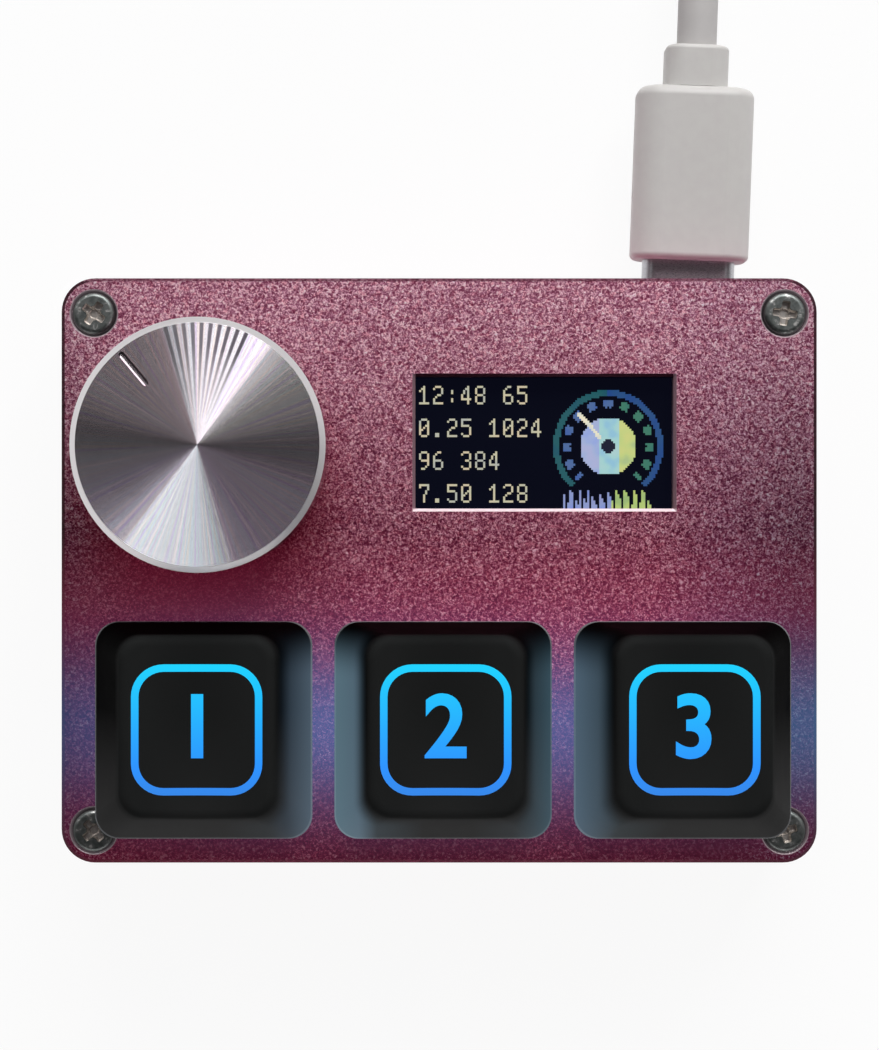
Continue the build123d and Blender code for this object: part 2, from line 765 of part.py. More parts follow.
# Knob: turned aluminium with a chamfered rim and one milled pointer groove.
knob_bottom = plate_top + knob_gap
knob_top = plate_top + knob_top_above_plate
skirt_bore_top = encoder_cover_top + push_travel + knob_running_gap
bushing_bore_top = bushing_top + push_travel + knob_running_gap
set_screw_z = knob_top - set_screw_below_top
screw_side = Plane(
    origin=(knob_x, knob_y, set_screw_z),
    x_dir=(flat_side[1], -flat_side[0], 0),
    z_dir=(-flat_side[0], -flat_side[1], 0),
)
with BuildPart() as knob:
    with BuildSketch(Plane.XY.offset(knob_bottom)):
        with Locations(axis_place):
            Circle(knob_diameter / 2)
    extrude(amount=knob_top - knob_bottom)
    chamfer(knob.faces().sort_by(Axis.Z)[-1].edges(), knob_chamfer)
    chamfer(knob.faces().sort_by(Axis.Z)[0].edges(), knob_chamfer / 2)
    with BuildSketch(Plane.XY.offset(knob_bottom)):
        with Locations(axis_place):
            Circle(knob_skirt_bore / 2)
    extrude(amount=skirt_bore_top - knob_bottom, mode=Mode.SUBTRACT)
    with BuildSketch(Plane.XY.offset(knob_bottom)):
        with Locations(axis_place):
            Circle(knob_bushing_bore / 2)
    extrude(amount=bushing_bore_top - knob_bottom, mode=Mode.SUBTRACT)
    with BuildSketch(Plane.XY.offset(knob_bottom)):
        with Locations(axis_place):
            Circle(shaft_diameter / 2 + knob_bore_clearance)
    extrude(amount=shaft_top + knob_bore_clearance - knob_bottom, mode=Mode.SUBTRACT)
    with BuildSketch(screw_side):
        Circle(set_screw_diameter / 2 + set_screw_clearance)
    extrude(amount=knob_diameter, mode=Mode.SUBTRACT)
    groove_length = pointer_outer - pointer_inner
    groove_middle = (pointer_outer + pointer_inner) / 2
    with BuildSketch(Plane.XY.offset(knob_top)):
        with Locations(Location((knob_x + flat_side[0] * groove_middle,
                                 knob_y + flat_side[1] * groove_middle), pointer_turn)):
            SlotOverall(groove_length, pointer_width, rotation=90)
    extrude(amount=-pointer_depth, mode=Mode.SUBTRACT)
save(knob, "knob")

with BuildPart() as knob_set_screw:
    with BuildSketch(screw_side.offset(shaft_flat + shaft_clearance)):
        Circle(set_screw_diameter / 2)
    extrude(amount=set_screw_length)
    with BuildSketch(screw_side.offset(shaft_flat + shaft_clearance + set_screw_length)):
        RegularPolygon(set_screw_hex / 2, 6, major_radius=False)
    extrude(amount=-set_screw_hex_depth, mode=Mode.SUBTRACT)
save(knob_set_screw, "knob_set_screw")

# ======== Display ========

glass_x = window_x + glass_shift
gasket_bottom = plate_bottom - gasket_thickness
glass_bottom = gasket_bottom - glass_thickness
backlight_bottom = glass_bottom - backlight_thickness
glass_left = glass_x - glass_width / 2
glass_right = glass_x + glass_width / 2

with BuildPart() as display_gasket:
    with BuildSketch(Plane.XY.offset(gasket_bottom)):
        with Locations((window_x, window_y)):
            gasket_opening = (window_width + 2 * gasket_setback, window_depth + 2 * gasket_setback)
            Rectangle(gasket_opening[0] + 2 * gasket_border, glass_depth)
            Rectangle(*gasket_opening, mode=Mode.SUBTRACT)
    extrude(amount=gasket_thickness)
save(display_gasket, "display_gasket")

with BuildPart() as display_glass:
    with Locations((glass_x, window_y, glass_bottom)):
        Box(glass_width, glass_depth, glass_thickness, align=(Align.CENTER, Align.CENTER, Align.MIN))
save(display_glass, "display_glass")

with BuildPart() as display_backlight:
    with Locations((glass_left, window_y, backlight_bottom)):
        Box(backlight_width, glass_depth, backlight_thickness, align=(Align.MIN, Align.CENTER, Align.MIN))
    fillet(display_backlight.edges().filter_by(Axis.Z), backlight_corner)
save(display_backlight, "display_backlight")

with BuildPart() as display_pad:
    with Locations((glass_left + pad_inset, window_y, board_top)):
        Box(
            backlight_width - 2 * pad_inset,
            glass_depth - 2 * pad_inset,
            backlight_bottom - board_top,
            align=(Align.MIN, Align.CENTER, Align.MIN),
        )
save(display_pad, "display_pad")

# Flex: leaves the ledge of the glass, steps down and lies on its connector.
flex_top = glass_bottom - flex_thickness / 2
flex_low = board_top + connector_height + flex_thickness / 2
with BuildPart() as display_flex:
    with BuildLine() as flex_line:
        FilletPolyline(
            (glass_right - flex_overlap, window_y, flex_top),
            (glass_right + flex_step, window_y, flex_top),
            (glass_right + 2 * flex_step, window_y, flex_low),
            (glass_right + flex_reach, window_y, flex_low),
            radius=flex_bend,
        )
    with BuildSketch(Plane(origin=flex_line.line @ 0, x_dir=(0, 1, 0), z_dir=(1, 0, 0))):
        Rectangle(flex_width, flex_thickness)
    sweep(path=flex_line.line)
save(display_flex, "display_flex")

with BuildPart() as flex_connector:
    with Locations((glass_right + flex_reach, window_y, board_top)):
        Box(connector_depth, connector_width, connector_height, align=(Align.MAX, Align.CENTER, Align.MIN))
save(flex_connector, "flex_connector")

# ======== Cable ========

# The plug stands a little askew in the socket, turned about the middle of what is inside it.
plug_inside = plug_shell_length - plug_shell_shown
plug_pivot_y = mouth_y - plug_inside / 2
plug_ahead = (sin(radians(plug_turn)), cos(radians(plug_turn)), 0)
plug_plane = Plane(
    origin=(usb_x, plug_pivot_y, usb_z),
    x_dir=(-plug_ahead[1], plug_ahead[0], 0),
    z_dir=plug_ahead,
)
shell_end = plug_inside / 2 + plug_shell_shown
body_end = shell_end + plug_body_length
collar_end = body_end + collar_length
plug_shell_bore = (plug_shell_width - 2 * plug_shell_wall, plug_shell_height - 2 * plug_shell_wall)
with BuildPart() as plug_shell:
    with BuildSketch(plug_plane.offset(-plug_inside / 2)):
        SlotOverall(plug_shell_width, plug_shell_height)
        SlotOverall(*plug_shell_bore, mode=Mode.SUBTRACT)
    extrude(amount=plug_shell_length)
save(plug_shell, "plug_shell")

with BuildPart() as plug_body:
    with BuildSketch(plug_plane.offset(shell_end)):
        RectangleRounded(plug_body_width, plug_body_height, plug_body_corner)
    extrude(amount=plug_body_length)
    fillet(plug_body.faces().sort_by(Axis.Y)[0].edges(), plug_body_front_round)
    fillet(plug_body.faces().sort_by(Axis.Y)[-1].edges(), plug_body_back_round)
save(plug_body, "plug_body")

with BuildPart() as plug_collar:
    with BuildSketch(plug_plane.offset(body_end)):
        RectangleRounded(collar_width, collar_height, collar_corner)
    extrude(amount=collar_length)
    fillet(plug_collar.faces().sort_by(Axis.Y)[-1].edges(), collar_end_round)
save(plug_collar, "plug_collar")

# Cord from the collar down to the table and into the coil, points chosen one by one.
cord_radius = cord_diameter / 2
coil_outer = coil_turn_radii[0] + cord_radius
coil_inner = coil_turn_radii[-1] - cord_radius
coil_top = coil_layers * cord_diameter
lead_points = [
    tuple(plug_plane.from_local_coords(Vector(0, 0, collar_end))),
    tuple(plug_plane.from_local_coords(Vector(0, 0, collar_end + straight_exit))),
    (23.60, 58.0, 4.9),
    (23.75, 66.5, 2.4),
    (23.80, 75.2, cord_radius),
    (23.70, 83.0, cord_radius),
    (23.60, 90.0, cord_radius),
]
# Tail: climbs out of the last turn, bends in over the coil and meets the far plug, which lies on it.
far_z = coil_top + far_body[2] / 2
tail_points = [
    (-4.12, 66.04, 5.3),
    (1.18, 65.48, 6.1),
    (11.33, 68.78, 8.5),
    (19.26, 75.92, 9.9),
    (23.60, 85.67, 10.4),
    (23.60, 92.28, 10.85),
    (19.71, 99.01, far_z),
    (12.99, 102.9, far_z),
    (6.40, 102.9, far_z),
]


def largest_arcs(points):
    """Radius of the arc at each inner point: as large as the shorter of its two runs allows."""
    radii = []
    for before, here, after in zip(points, points[1:], points[2:]):
        run_in = Vector(*here) - Vector(*before)
        run_out = Vector(*after) - Vector(*here)
        half_turn = radians(run_in.get_angle(run_out)) / 2
        radii.append(0.45 * min(run_in.length, run_out.length) / tan(half_turn))
    return radii


def cord_tube(points, name):
    """A stretch of cord along straight runs joined by tangent arcs."""
    radii = largest_arcs(points)
    with BuildPart() as tube:
        with BuildLine() as route:
            FilletPolyline(*points, radius=radii)
        with BuildSketch(Plane(origin=route.line @ 0, z_dir=route.line % 0)):
            Circle(cord_radius)
        sweep(path=route.line)
    length = route.wire().length
    section = pi * cord_radius**2
    print(name, "radii", [round(radius, 1) for radius in radii], "length", round(length, 2))
    print(name, "volume", round(tube.part.volume, 2), "section x length", round(section * length, 2))
    return tube


save(cord_tube(lead_points, "cord_lead"), "cord_lead")
save(cord_tube(tail_points, "cord_tail"), "cord_tail")

# Coil of the put-away length, as one ring, with a flat for the tie under it.
tie_radians = radians(tie_angle)
tie_middle = (coil_outer + coil_inner) / 2
tie_origin = (
    coil_centre[0] + tie_middle * cos(tie_radians),
    coil_centre[1] + tie_middle * sin(tie_radians),
    coil_top / 2,
)
tie_plane = Plane(
    origin=tie_origin,
    x_dir=(cos(tie_radians), sin(tie_radians), 0),
    z_dir=(sin(tie_radians), -cos(tie_radians), 0),
)
tie_bundle = coil_outer - coil_inner
with BuildPart() as coil_tie:
    with BuildSketch(tie_plane.offset(-tie_width / 2)):
        RectangleRounded(tie_bundle + 2 * tie_thickness, coil_top, coil_round + tie_thickness)
        RectangleRounded(tie_bundle, coil_top - 2 * tie_thickness, coil_round, mode=Mode.SUBTRACT)
    extrude(amount=tie_width)
save(coil_tie, "coil_tie")

coil_middle = (coil_centre[0], coil_centre[1], 0)
with BuildPart() as cord_coil:
    with BuildSketch(Plane(origin=coil_middle, x_dir=(1, 0, 0), z_dir=(0, -1, 0))):
        with Locations((tie_middle, coil_top / 2)):
            RectangleRounded(tie_bundle, coil_top, coil_round)
    revolve(axis=Axis(coil_middle, (0, 0, 1)))
save(cord_coil, "cord_coil")

# Far plug, USB-A, flat on the coil and in line with the end of the tail.
far_plane = Plane(origin=tail_points[-1], x_dir=(0, 1, 0), z_dir=(-1, 0, 0))
with BuildPart() as far_plug_body:
    with BuildSketch(far_plane):
        Circle(far_collar_diameter / 2)
    extrude(amount=far_collar_length)
    with BuildSketch(far_plane.offset(far_collar_length)):
        RectangleRounded(far_body[0], far_body[2], far_body_round)
    extrude(amount=far_body[1])
save(far_plug_body, "far_plug_body")

far_body_end = far_collar_length + far_body[1]
with BuildPart() as far_plug_shell:
    with BuildSketch(far_plane.offset(far_body_end)):
        Rectangle(far_shell[0], far_shell[2])
        Rectangle(far_shell[0] - 2 * far_shell_wall, far_shell[2] - 2 * far_shell_wall, mode=Mode.SUBTRACT)
    extrude(amount=far_shell[1])
save(far_plug_shell, "far_plug_shell")

with BuildPart() as far_plug_tongue:
    with BuildSketch(far_plane.offset(far_body_end)):
        with Locations((0, (far_shell[2] - far_tongue[2]) / 2 - far_shell_wall)):
            Rectangle(far_tongue[0], far_tongue[2])
    extrude(amount=far_tongue[1])
save(far_plug_tongue, "far_plug_tongue")
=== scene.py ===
from math import cos, pi, radians, sin

import bmesh
import bpy
from mathutils import Matrix, Vector


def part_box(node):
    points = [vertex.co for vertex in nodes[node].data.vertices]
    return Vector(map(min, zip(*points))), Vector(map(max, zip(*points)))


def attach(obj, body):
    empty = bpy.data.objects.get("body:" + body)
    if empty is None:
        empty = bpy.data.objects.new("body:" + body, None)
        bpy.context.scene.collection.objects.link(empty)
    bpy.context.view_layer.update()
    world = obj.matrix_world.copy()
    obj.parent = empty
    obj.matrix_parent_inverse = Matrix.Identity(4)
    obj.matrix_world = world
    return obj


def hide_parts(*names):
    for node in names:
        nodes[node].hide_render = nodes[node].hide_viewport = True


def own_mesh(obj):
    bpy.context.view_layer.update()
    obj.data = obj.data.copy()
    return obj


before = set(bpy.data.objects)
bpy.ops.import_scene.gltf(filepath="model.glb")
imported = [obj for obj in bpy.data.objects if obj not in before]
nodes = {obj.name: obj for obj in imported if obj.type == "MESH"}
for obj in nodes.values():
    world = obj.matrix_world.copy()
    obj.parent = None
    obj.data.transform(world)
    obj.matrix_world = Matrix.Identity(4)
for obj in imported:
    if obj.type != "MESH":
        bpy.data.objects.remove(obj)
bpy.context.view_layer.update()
scene = bpy.context.scene

MM = 0.001
UP = Vector((0, 0, 1))
HAIR = 0.01 * MM  # slack that tells one face of a piece from the next
WELD = 1e-7  # points nearer than this are one

# ---- Places that the CAD model gives, in metres ----
plate_low, plate_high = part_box("top_plate")
plate_width = plate_high.x - plate_low.x
knob_low, knob_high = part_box("knob")
knob_centre = (knob_low + knob_high) / 2
glass_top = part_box("display_glass")[1].z
screw_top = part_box("case_screws")[1].z
tie_low, tie_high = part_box("coil_tie")
cap_boxes = [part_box(f"keycap_{number}") for number in (1, 2, 3)]
cap_bottom = cap_boxes[0][0].z
key_row_y = (cap_boxes[0][0].y + cap_boxes[0][1].y) / 2

# ---- Sizes of the pieces, in metres ----
cap_height, cap_top_width, cap_dish, cap_top_shift = 9.4 * MM, 12.3 * MM, 0.7 * MM, 0.95 * MM
cap_rim = cap_bottom + cap_height
key_travel, knob_travel = 4.0 * MM, 0.5 * MM
window_centre = Vector((9.05, 11.0, 0)) * MM
window_width, window_depth, window_bevel = 22.2 * MM, 11.35 * MM, 0.26 * MM
corner_radius, plate_chamfer = 2.9 * MM, 0.3 * MM
screw_x, screw_back_y, screw_front_y = 29.7 * MM, 22.1 * MM, -22.35 * MM
seat_radius, seat_lip = 2.09 * MM, 1.97 * MM
head_flat, head_radius = 1.55 * MM, 1.75 * MM
cross_reach, cross_depth = 1.3 * MM, 0.12 * MM
ring_pitch, ring_slope = 0.05 * MM, 0.42
fan_streak_angle = 4.35  # degrees from one dark streak painted into the top fan of light to the next
rim_radius, rim_depth = 9.86 * MM, 0.6 * MM
groove_end, groove_depth, groove_bearing = 9.75 * MM, 0.9 * MM, radians(40)


def put(made):
    """Puts a new object into the scene."""
    scene.collection.objects.link(made)
    return made


# ---- Camera: straight above the plate ----
pixel = MM / 11.63  # what one pixel shows at the height of the plate
view_height = 240 * MM
frame_width, frame_height = 879, 1050
eye_column, eye_row = 378, 525  # the pixel that the camera stands over
plate_column, plate_row = 439.25, 570.5  # the pixel that shows the middle of the plate
camera_data = bpy.data.cameras.new("camera")
camera_data.sensor_width = 36
camera_data.lens = camera_data.sensor_width * view_height / (frame_height * pixel)
camera_data.shift_x = (frame_width / 2 - eye_column) / frame_height
camera = put(bpy.data.objects.new("camera", camera_data))
camera.location = (
    (eye_column - plate_column) * pixel,
    (plate_row - eye_row) * pixel,
    plate_high.z + view_height,
)
scene.camera = camera

# ---- Cord, in millimetres: one line from the plug's collar through its put-away coil to the far plug ----
cord_diameter = 3.55
lead_points = [
    (23.059, 46.333, 6.270),
    (23.235, 50.929, 6.270),
    (23.60, 58.0, 4.9),
    (23.75, 66.5, 2.4),
    (23.80, 75.2, 1.775),
    (23.70, 83.0, 1.775),
]
tail_points = [
    (1.18, 65.48, 6.1),
    (11.33, 68.78, 8.5),
    (19.26, 75.92, 9.9),
    (23.60, 85.67, 10.4),
    (23.60, 92.28, 10.85),
    (19.71, 99.01, 11.1),
    (12.99, 102.9, 11.1),
    (6.40, 102.9, 11.1),
]
coil_centre = Vector((-1.5, 91.0, 0))
coil_outer_turn, turn_pitch = 25.1, 3.6
coil_step, coil_count = 15, 186  # degrees from point to point, and how many points the turns have
move_in = (-10, 50)  # degrees past a full turn between which the cord moves one pitch inwards
move_out = (-98, -50)  # the same outwards, in the upper layer
climb = (1390, 1440)  # degrees between which it climbs from the lower layer to the upper one
tie_angle, tie_reach, tie_thickness = 200, 30, 0.7


def ease(value, start, end):
    """Smooth step from 0 at start to 1 at end."""
    share = min(1, max(0, (value - start) / (end - start)))
    return share * share * (3 - 2 * share)


def coil_point(angle):
    """Where the cord is after turning by this many degrees: in over the floor, then out on top."""
    inward = sum(ease(angle, 360 * turn + move_in[0], 360 * turn + move_in[1]) for turn in (1, 2, 3))
    outward = sum(ease(angle, 360 * turn + move_out[0], 360 * turn + move_out[1]) for turn in (5, 6, 7))
    radius = coil_outer_turn + turn_pitch * (outward - inward)
    at_tie = ease(1 - abs(angle % 360 - tie_angle) / tie_reach, 0, 1)
    height = cord_diameter * (0.5 + ease(angle, *climb)) + tie_thickness * at_tie
    along = Vector((cos(radians(angle)), sin(radians(angle)), 0))
    return coil_centre + along * radius + UP * height


coil_points = [coil_point(coil_step * step) for step in range(coil_count)]
cord_points = lead_points + coil_points + tail_points
cord_data = bpy.data.curves.new("cord", "CURVE")
cord_data.dimensions = "3D"
cord_data.bevel_depth = cord_diameter / 2 * MM
cord_data.bevel_resolution = 5
cord_data.resolution_u = 4
cord_data.use_fill_caps = True
cord_line = cord_data.splines.new("NURBS")
cord_line.points.add(len(cord_points) - 1)
for point, place in zip(cord_line.points, cord_points):
    point.co = (*(Vector(place) * MM), 1)
cord_line.order_u = 3
cord_line.use_endpoint_u = True
cord = put(bpy.data.objects.new("cord", cord_data))

# ---- Materials ----
# A Mix node of colours takes its share at place 0 and its two colours at places 6 and 7.
BLEND = {"data_type": "RGBA"}
TINT = {"data_type": "RGBA", "blend_type": "MULTIPLY"}
SMOOTH = {"interpolation_type": "SMOOTHSTEP"}
TO_WORLD = {"convert_from": "OBJECT", "convert_to": "WORLD"}


def colour(hex_value):
    """Linear colour of an sRGB hex value."""
    shares = [int(hex_value[place:place + 2], 16) / 255 for place in (1, 3, 5)]
    linear = [share / 12.92 if share <= 0.04045 else ((share + 0.055) / 1.055) ** 2.4 for share in shares]
    return (*linear, 1)


def feed(tree, node, links):
    """Links sources to a node's sockets. A node as a source stands for its first live output."""
    for name, source in links.items():
        if isinstance(source, bpy.types.Node):
            source = next(output for output in source.outputs if output.enabled)
        tree.links.new(source, node.inputs[name])


def add(tree, kind, settings=None, links=None):
    """Adds a shader node with its settings and links, each by name or by place."""
    made = tree.nodes.new("ShaderNode" + kind)
    for name, value in (settings or {}).items():
        if name == "stops":
            elements = made.color_ramp.elements
            while len(elements) < len(value):
                elements.new(0.5)
            for element, (place, shade) in zip(elements, value):
                element.position, element.color = place, colour(shade)
        elif isinstance(name, str) and hasattr(made, name):
            setattr(made, name, value)
        else:
            made.inputs[name].default_value = colour(value) if isinstance(value, str) else value
    feed(tree, made, links or {})
    return made


def finish_of(name, settings):
    """A new material of one shader: returns it, its tree and the shader."""
    made = bpy.data.materials.new(name)
    made.use_nodes = True
    tree = made.node_tree
    tree.nodes.remove(tree.nodes["Principled BSDF"])
    shader = add(tree, "BsdfPrincipled", settings)
    feed(tree, tree.nodes["Material Output"], {"Surface": shader})
    return made, tree, shader


def moulded(name, light, dark, roughness, texture, depth, settings=None):
    """Moulded plastic, rubber and the like: a faint mottle in its colour, and the fine texture of its
    mould, so many millimetres wide and deep."""
    made, tree, shader = finish_of(name, {"Roughness": roughness, **(settings or {})})
    place = add(tree, "TexCoord").outputs["Object"]
    mottle = add(tree, "TexNoise", {"Scale": 1 / (12 * texture * MM), "Detail": 3.0}, {"Vector": place})
    pebble = add(tree, "TexNoise", {"Scale": 1 / (texture * MM), "Detail": 2.0}, {"Vector": place})
    feed(tree, shader, {
        "Base Color": add(tree, "ValToRGB", {"stops": [(0.3, dark), (0.7, light)]}, {"Fac": mottle}),
        "Normal": add(tree, "Bump", {"Distance": depth * MM}, {"Height": pebble}),
    })
    return made


def plated(name, light, dark, roughness, lines, stretch=(1, 1, 1)):
    """Plated metal: spots or rolling lines, so many millimetres wide, in its colour and gloss."""
    made, tree, shader = finish_of(name, {"Metallic": 1.0})
    place = add(tree, "TexCoord").outputs["Object"]
    drawn = add(tree, "Mapping", {"Scale": stretch}, {"Vector": place})
    marks = add(tree, "TexNoise", {"Scale": 1 / (lines * MM), "Detail": 3.0}, {"Vector": drawn})
    feed(tree, shader, {
        "Base Color": add(tree, "ValToRGB", {"stops": [(0.35, dark), (0.65, light)]}, {"Fac": marks}),
        "Roughness": add(tree, "MapRange", {"To Min": roughness * 0.7, "To Max": roughness * 1.4},
                         {"Value": marks}),
    })
    return made


def rose_dye(tree, place, y, sideways, grit):
    """Colour of the blasted grain: deep rose, with a painted sheen that pales it towards the back, and
    painted shade that greys it towards its left and right sides, most in front.
    """
    deep = add(tree, "ValToRGB", {"stops": [
        (0.36, "#5C1430"), (0.46, "#8C2A4A"), (0.53, "#B04868"), (0.61, "#DC869E"), (0.72, "#FFD0DC"),
    ]}, {"Fac": grit})
    pale = add(tree, "ValToRGB", {"stops": [
        (0.36, "#843C58"), (0.46, "#B06C86"), (0.53, "#DCA0B4"), (0.61, "#FFD4DE"), (0.72, "#FFF4F8"),
    ]}, {"Fac": grit})
    # Painted sheen: the grain is paler towards the back, where the lamps shine on it.
    sheen_to_back = add(tree, "MapRange", {**SMOOTH, "From Min": -12 * MM, "From Max": 28 * MM}, {"Value": y})
    dye_and_sheen = add(tree, "Mix", BLEND, {0: sheen_to_back, 6: deep, 7: pale})
    # Painted shade: greyer towards the left and right sides, most in front.
    end_shade = add(tree, "ValToRGB", {"stops": [
        (0.0, "#A0C8C0"), (0.09, "#FFFFFF"), (0.78, "#FFFFFF"), (0.87, "#CCE4EA"), (0.97, "#90BCBC"),
    ]}, {"Fac": sideways})
    to_front = add(tree, "MapRange", {"From Min": 20 * MM, "From Max": -6 * MM, "To Min": 0.25}, {"Value": y})
    shaded = add(tree, "Mix", TINT, {0: to_front, 6: dye_and_sheen, 7: end_shade})
    specks = add(tree, "TexNoise", {"Scale": 1 / (0.5 * MM), "Detail": 1.0}, {"Vector": place})
    hues = add(tree, "ValToRGB", {"stops": [(0.35, "#FFB8CC"), (0.5, "#FFFFFF"), (0.65, "#F4D4EC")]},
               {"Fac": specks})
    return add(tree, "Mix", {**TINT, 0: 0.4}, {6: shaded, 7: hues})


def cut_edges(tree, place, y, body):
    """The chamfer round the plate, painted darker than its face as shade and less dark along the back as a
    painted highlight, and the window, which is cut after blasting: its sides are smooth, its front side is
    bare metal and is painted bright as a reflection of the lamps, its back side is painted dark as shade, and
    its left and right sides are painted in between."""
    mirrored = add(tree, "VectorMath", {"operation": "ABSOLUTE"}, {0: place})
    inner = (plate_high.x - corner_radius, plate_high.y - corner_radius, 1.0)  # height never counts
    past = add(tree, "VectorMath", {"operation": "SUBTRACT", 1: inner}, {0: mirrored})
    beyond = add(tree, "VectorMath", {"operation": "MAXIMUM", 1: (0, 0, 0)}, {0: past})
    reach = add(tree, "VectorMath", {"operation": "LENGTH"}, {0: beyond})
    edge = add(tree, "Math", {"operation": "GREATER_THAN", 1: corner_radius - plate_chamfer}, {0: reach})
    at_back = add(tree, "Math", {"operation": "GREATER_THAN", 1: plate_high.y - plate_chamfer}, {0: y})
    # Painted shade on the chamfer, with a painted highlight along the back.
    edge_shade_and_highlight = add(tree, "Mix", {**BLEND, 6: "#583847", 7: "#908088"}, {0: at_back})
    body = add(tree, "Mix", TINT, {0: edge, 6: body, 7: edge_shade_and_highlight})

    from_window = add(tree, "VectorMath", {"operation": "SUBTRACT", 1: window_centre}, {0: place})
    away = add(tree, "VectorMath", {"operation": "ABSOLUTE"}, {0: from_window})
    away_x, away_y, _ = add(tree, "SeparateXYZ", None, {0: away}).outputs
    in_width = add(tree, "Math", {"operation": "LESS_THAN", 1: window_width / 2 + window_bevel}, {0: away_x})
    in_depth = add(tree, "Math", {"operation": "LESS_THAN", 1: window_depth / 2 + window_bevel}, {0: away_y})
    window_cut = add(tree, "Math", {"operation": "MULTIPLY"}, {0: in_width, 1: in_depth})
    front_side = window_centre.y - window_depth / 2 + HAIR
    in_front = add(tree, "Math", {"operation": "LESS_THAN", 1: front_side}, {0: y})
    at_side = add(tree, "Math", {"operation": "GREATER_THAN", 1: window_width / 2 - HAIR}, {0: away_x})
    # Painted shade on the window's back side, lighter on its left and right sides, and a painted reflection
    # on its front side.
    window_side_shade = add(tree, "Mix", {**BLEND, 6: "#4A2634", 7: "#B8949F"}, {0: at_side})
    window_light_and_shade = add(tree, "Mix", {**BLEND, 7: "#FFE8EE"}, {0: in_front, 6: window_side_shade})
    return add(tree, "Mix", BLEND, {0: window_cut, 6: body, 7: window_light_and_shade})


def from_screw(tree, place):
    """How far a point is from the axis of the nearest case screw."""
    mirrored = add(tree, "VectorMath", {"operation": "ABSOLUTE"}, {0: place})
    beside = add(tree, "CombineXYZ", None, {
        0: add(tree, "SeparateXYZ", None, {0: mirrored}).outputs["X"],
        1: add(tree, "SeparateXYZ", None, {0: place}).outputs["Y"],
    })
    back = add(tree, "VectorMath", {"operation": "DISTANCE", 1: (screw_x, screw_back_y, 0)}, {0: beside})
    front = add(tree, "VectorMath", {"operation": "DISTANCE", 1: (screw_x, screw_front_y, 0)}, {0: beside})
    return add(tree, "Math", {"operation": "MINIMUM"}, {0: back, 1: front})


def light_below(tree, place, y, sideways, body):
    """Painted light of the lamps under the keys on the plate: a blue glow along the key row, and a crimson
    glow where the dye tints their light on its way out. The knob keeps the light of the room off, so the
    plate is painted darker there, with a dark red glow."""
    behind = add(tree, "Math", {"operation": "SUBTRACT", 1: key_row_y}, {0: y})
    spread = add(tree, "Math", {"operation": "DIVIDE", 1: 6.5 * MM}, {0: behind})
    squared = add(tree, "Math", {"operation": "MULTIPLY"}, {0: spread, 1: spread})
    falling = add(tree, "Math", {"operation": "MULTIPLY", 1: -1.0}, {0: squared})
    band = add(tree, "Math", {"operation": "EXPONENT"}, {0: falling})
    wash = add(tree, "ValToRGB", {"stops": [
        (0.0, "#20385C"), (0.25, "#3C588C"), (0.42, "#446094"), (0.7, "#42588C"), (0.97, "#285278"),
    ]}, {"Fac": sideways})
    blue = add(tree, "VectorMath", {"operation": "SCALE"}, {0: wash, "Scale": band})
    along = add(tree, "MapRange", {"From Min": plate_low.y, "From Max": plate_high.y}, {"Value": y})
    crimson = add(tree, "ValToRGB", {"stops": [
        (0.0, "#380610"), (0.09, "#3A0612"), (0.17, "#28040C"), (0.25, "#1C0408"), (0.34, "#380610"),
        (0.41, "#480A1C"), (0.435, "#4A1220"), (0.5, "#380C18"), (0.57, "#000000"),
    ]}, {"Fac": along})
    shade_centre = (knob_centre.x, knob_centre.y - 3 * MM, 0)
    from_knob = add(tree, "VectorMath", {"operation": "DISTANCE", 1: shade_centre}, {0: place})
    under_knob = add(tree, "MapRange", {**SMOOTH, "From Min": 20.5 * MM, "From Max": 15.5 * MM},
                     {"Value": from_knob})
    # Painted shadow: the plate is darkened under the knob, and a dark red glow is painted there.
    body = add(tree, "Mix", {**TINT, 7: "#D0A4AC"}, {0: under_knob, 6: body})
    hidden = add(tree, "ValToRGB", {"stops": [(0.0, "#000000"), (1.0, "#34000A")]}, {"Fac": under_knob})
    red = add(tree, "VectorMath", {"operation": "ADD"}, {0: crimson, 1: hidden})
    return body, add(tree, "VectorMath", {"operation": "ADD"}, {0: blue, 1: red})


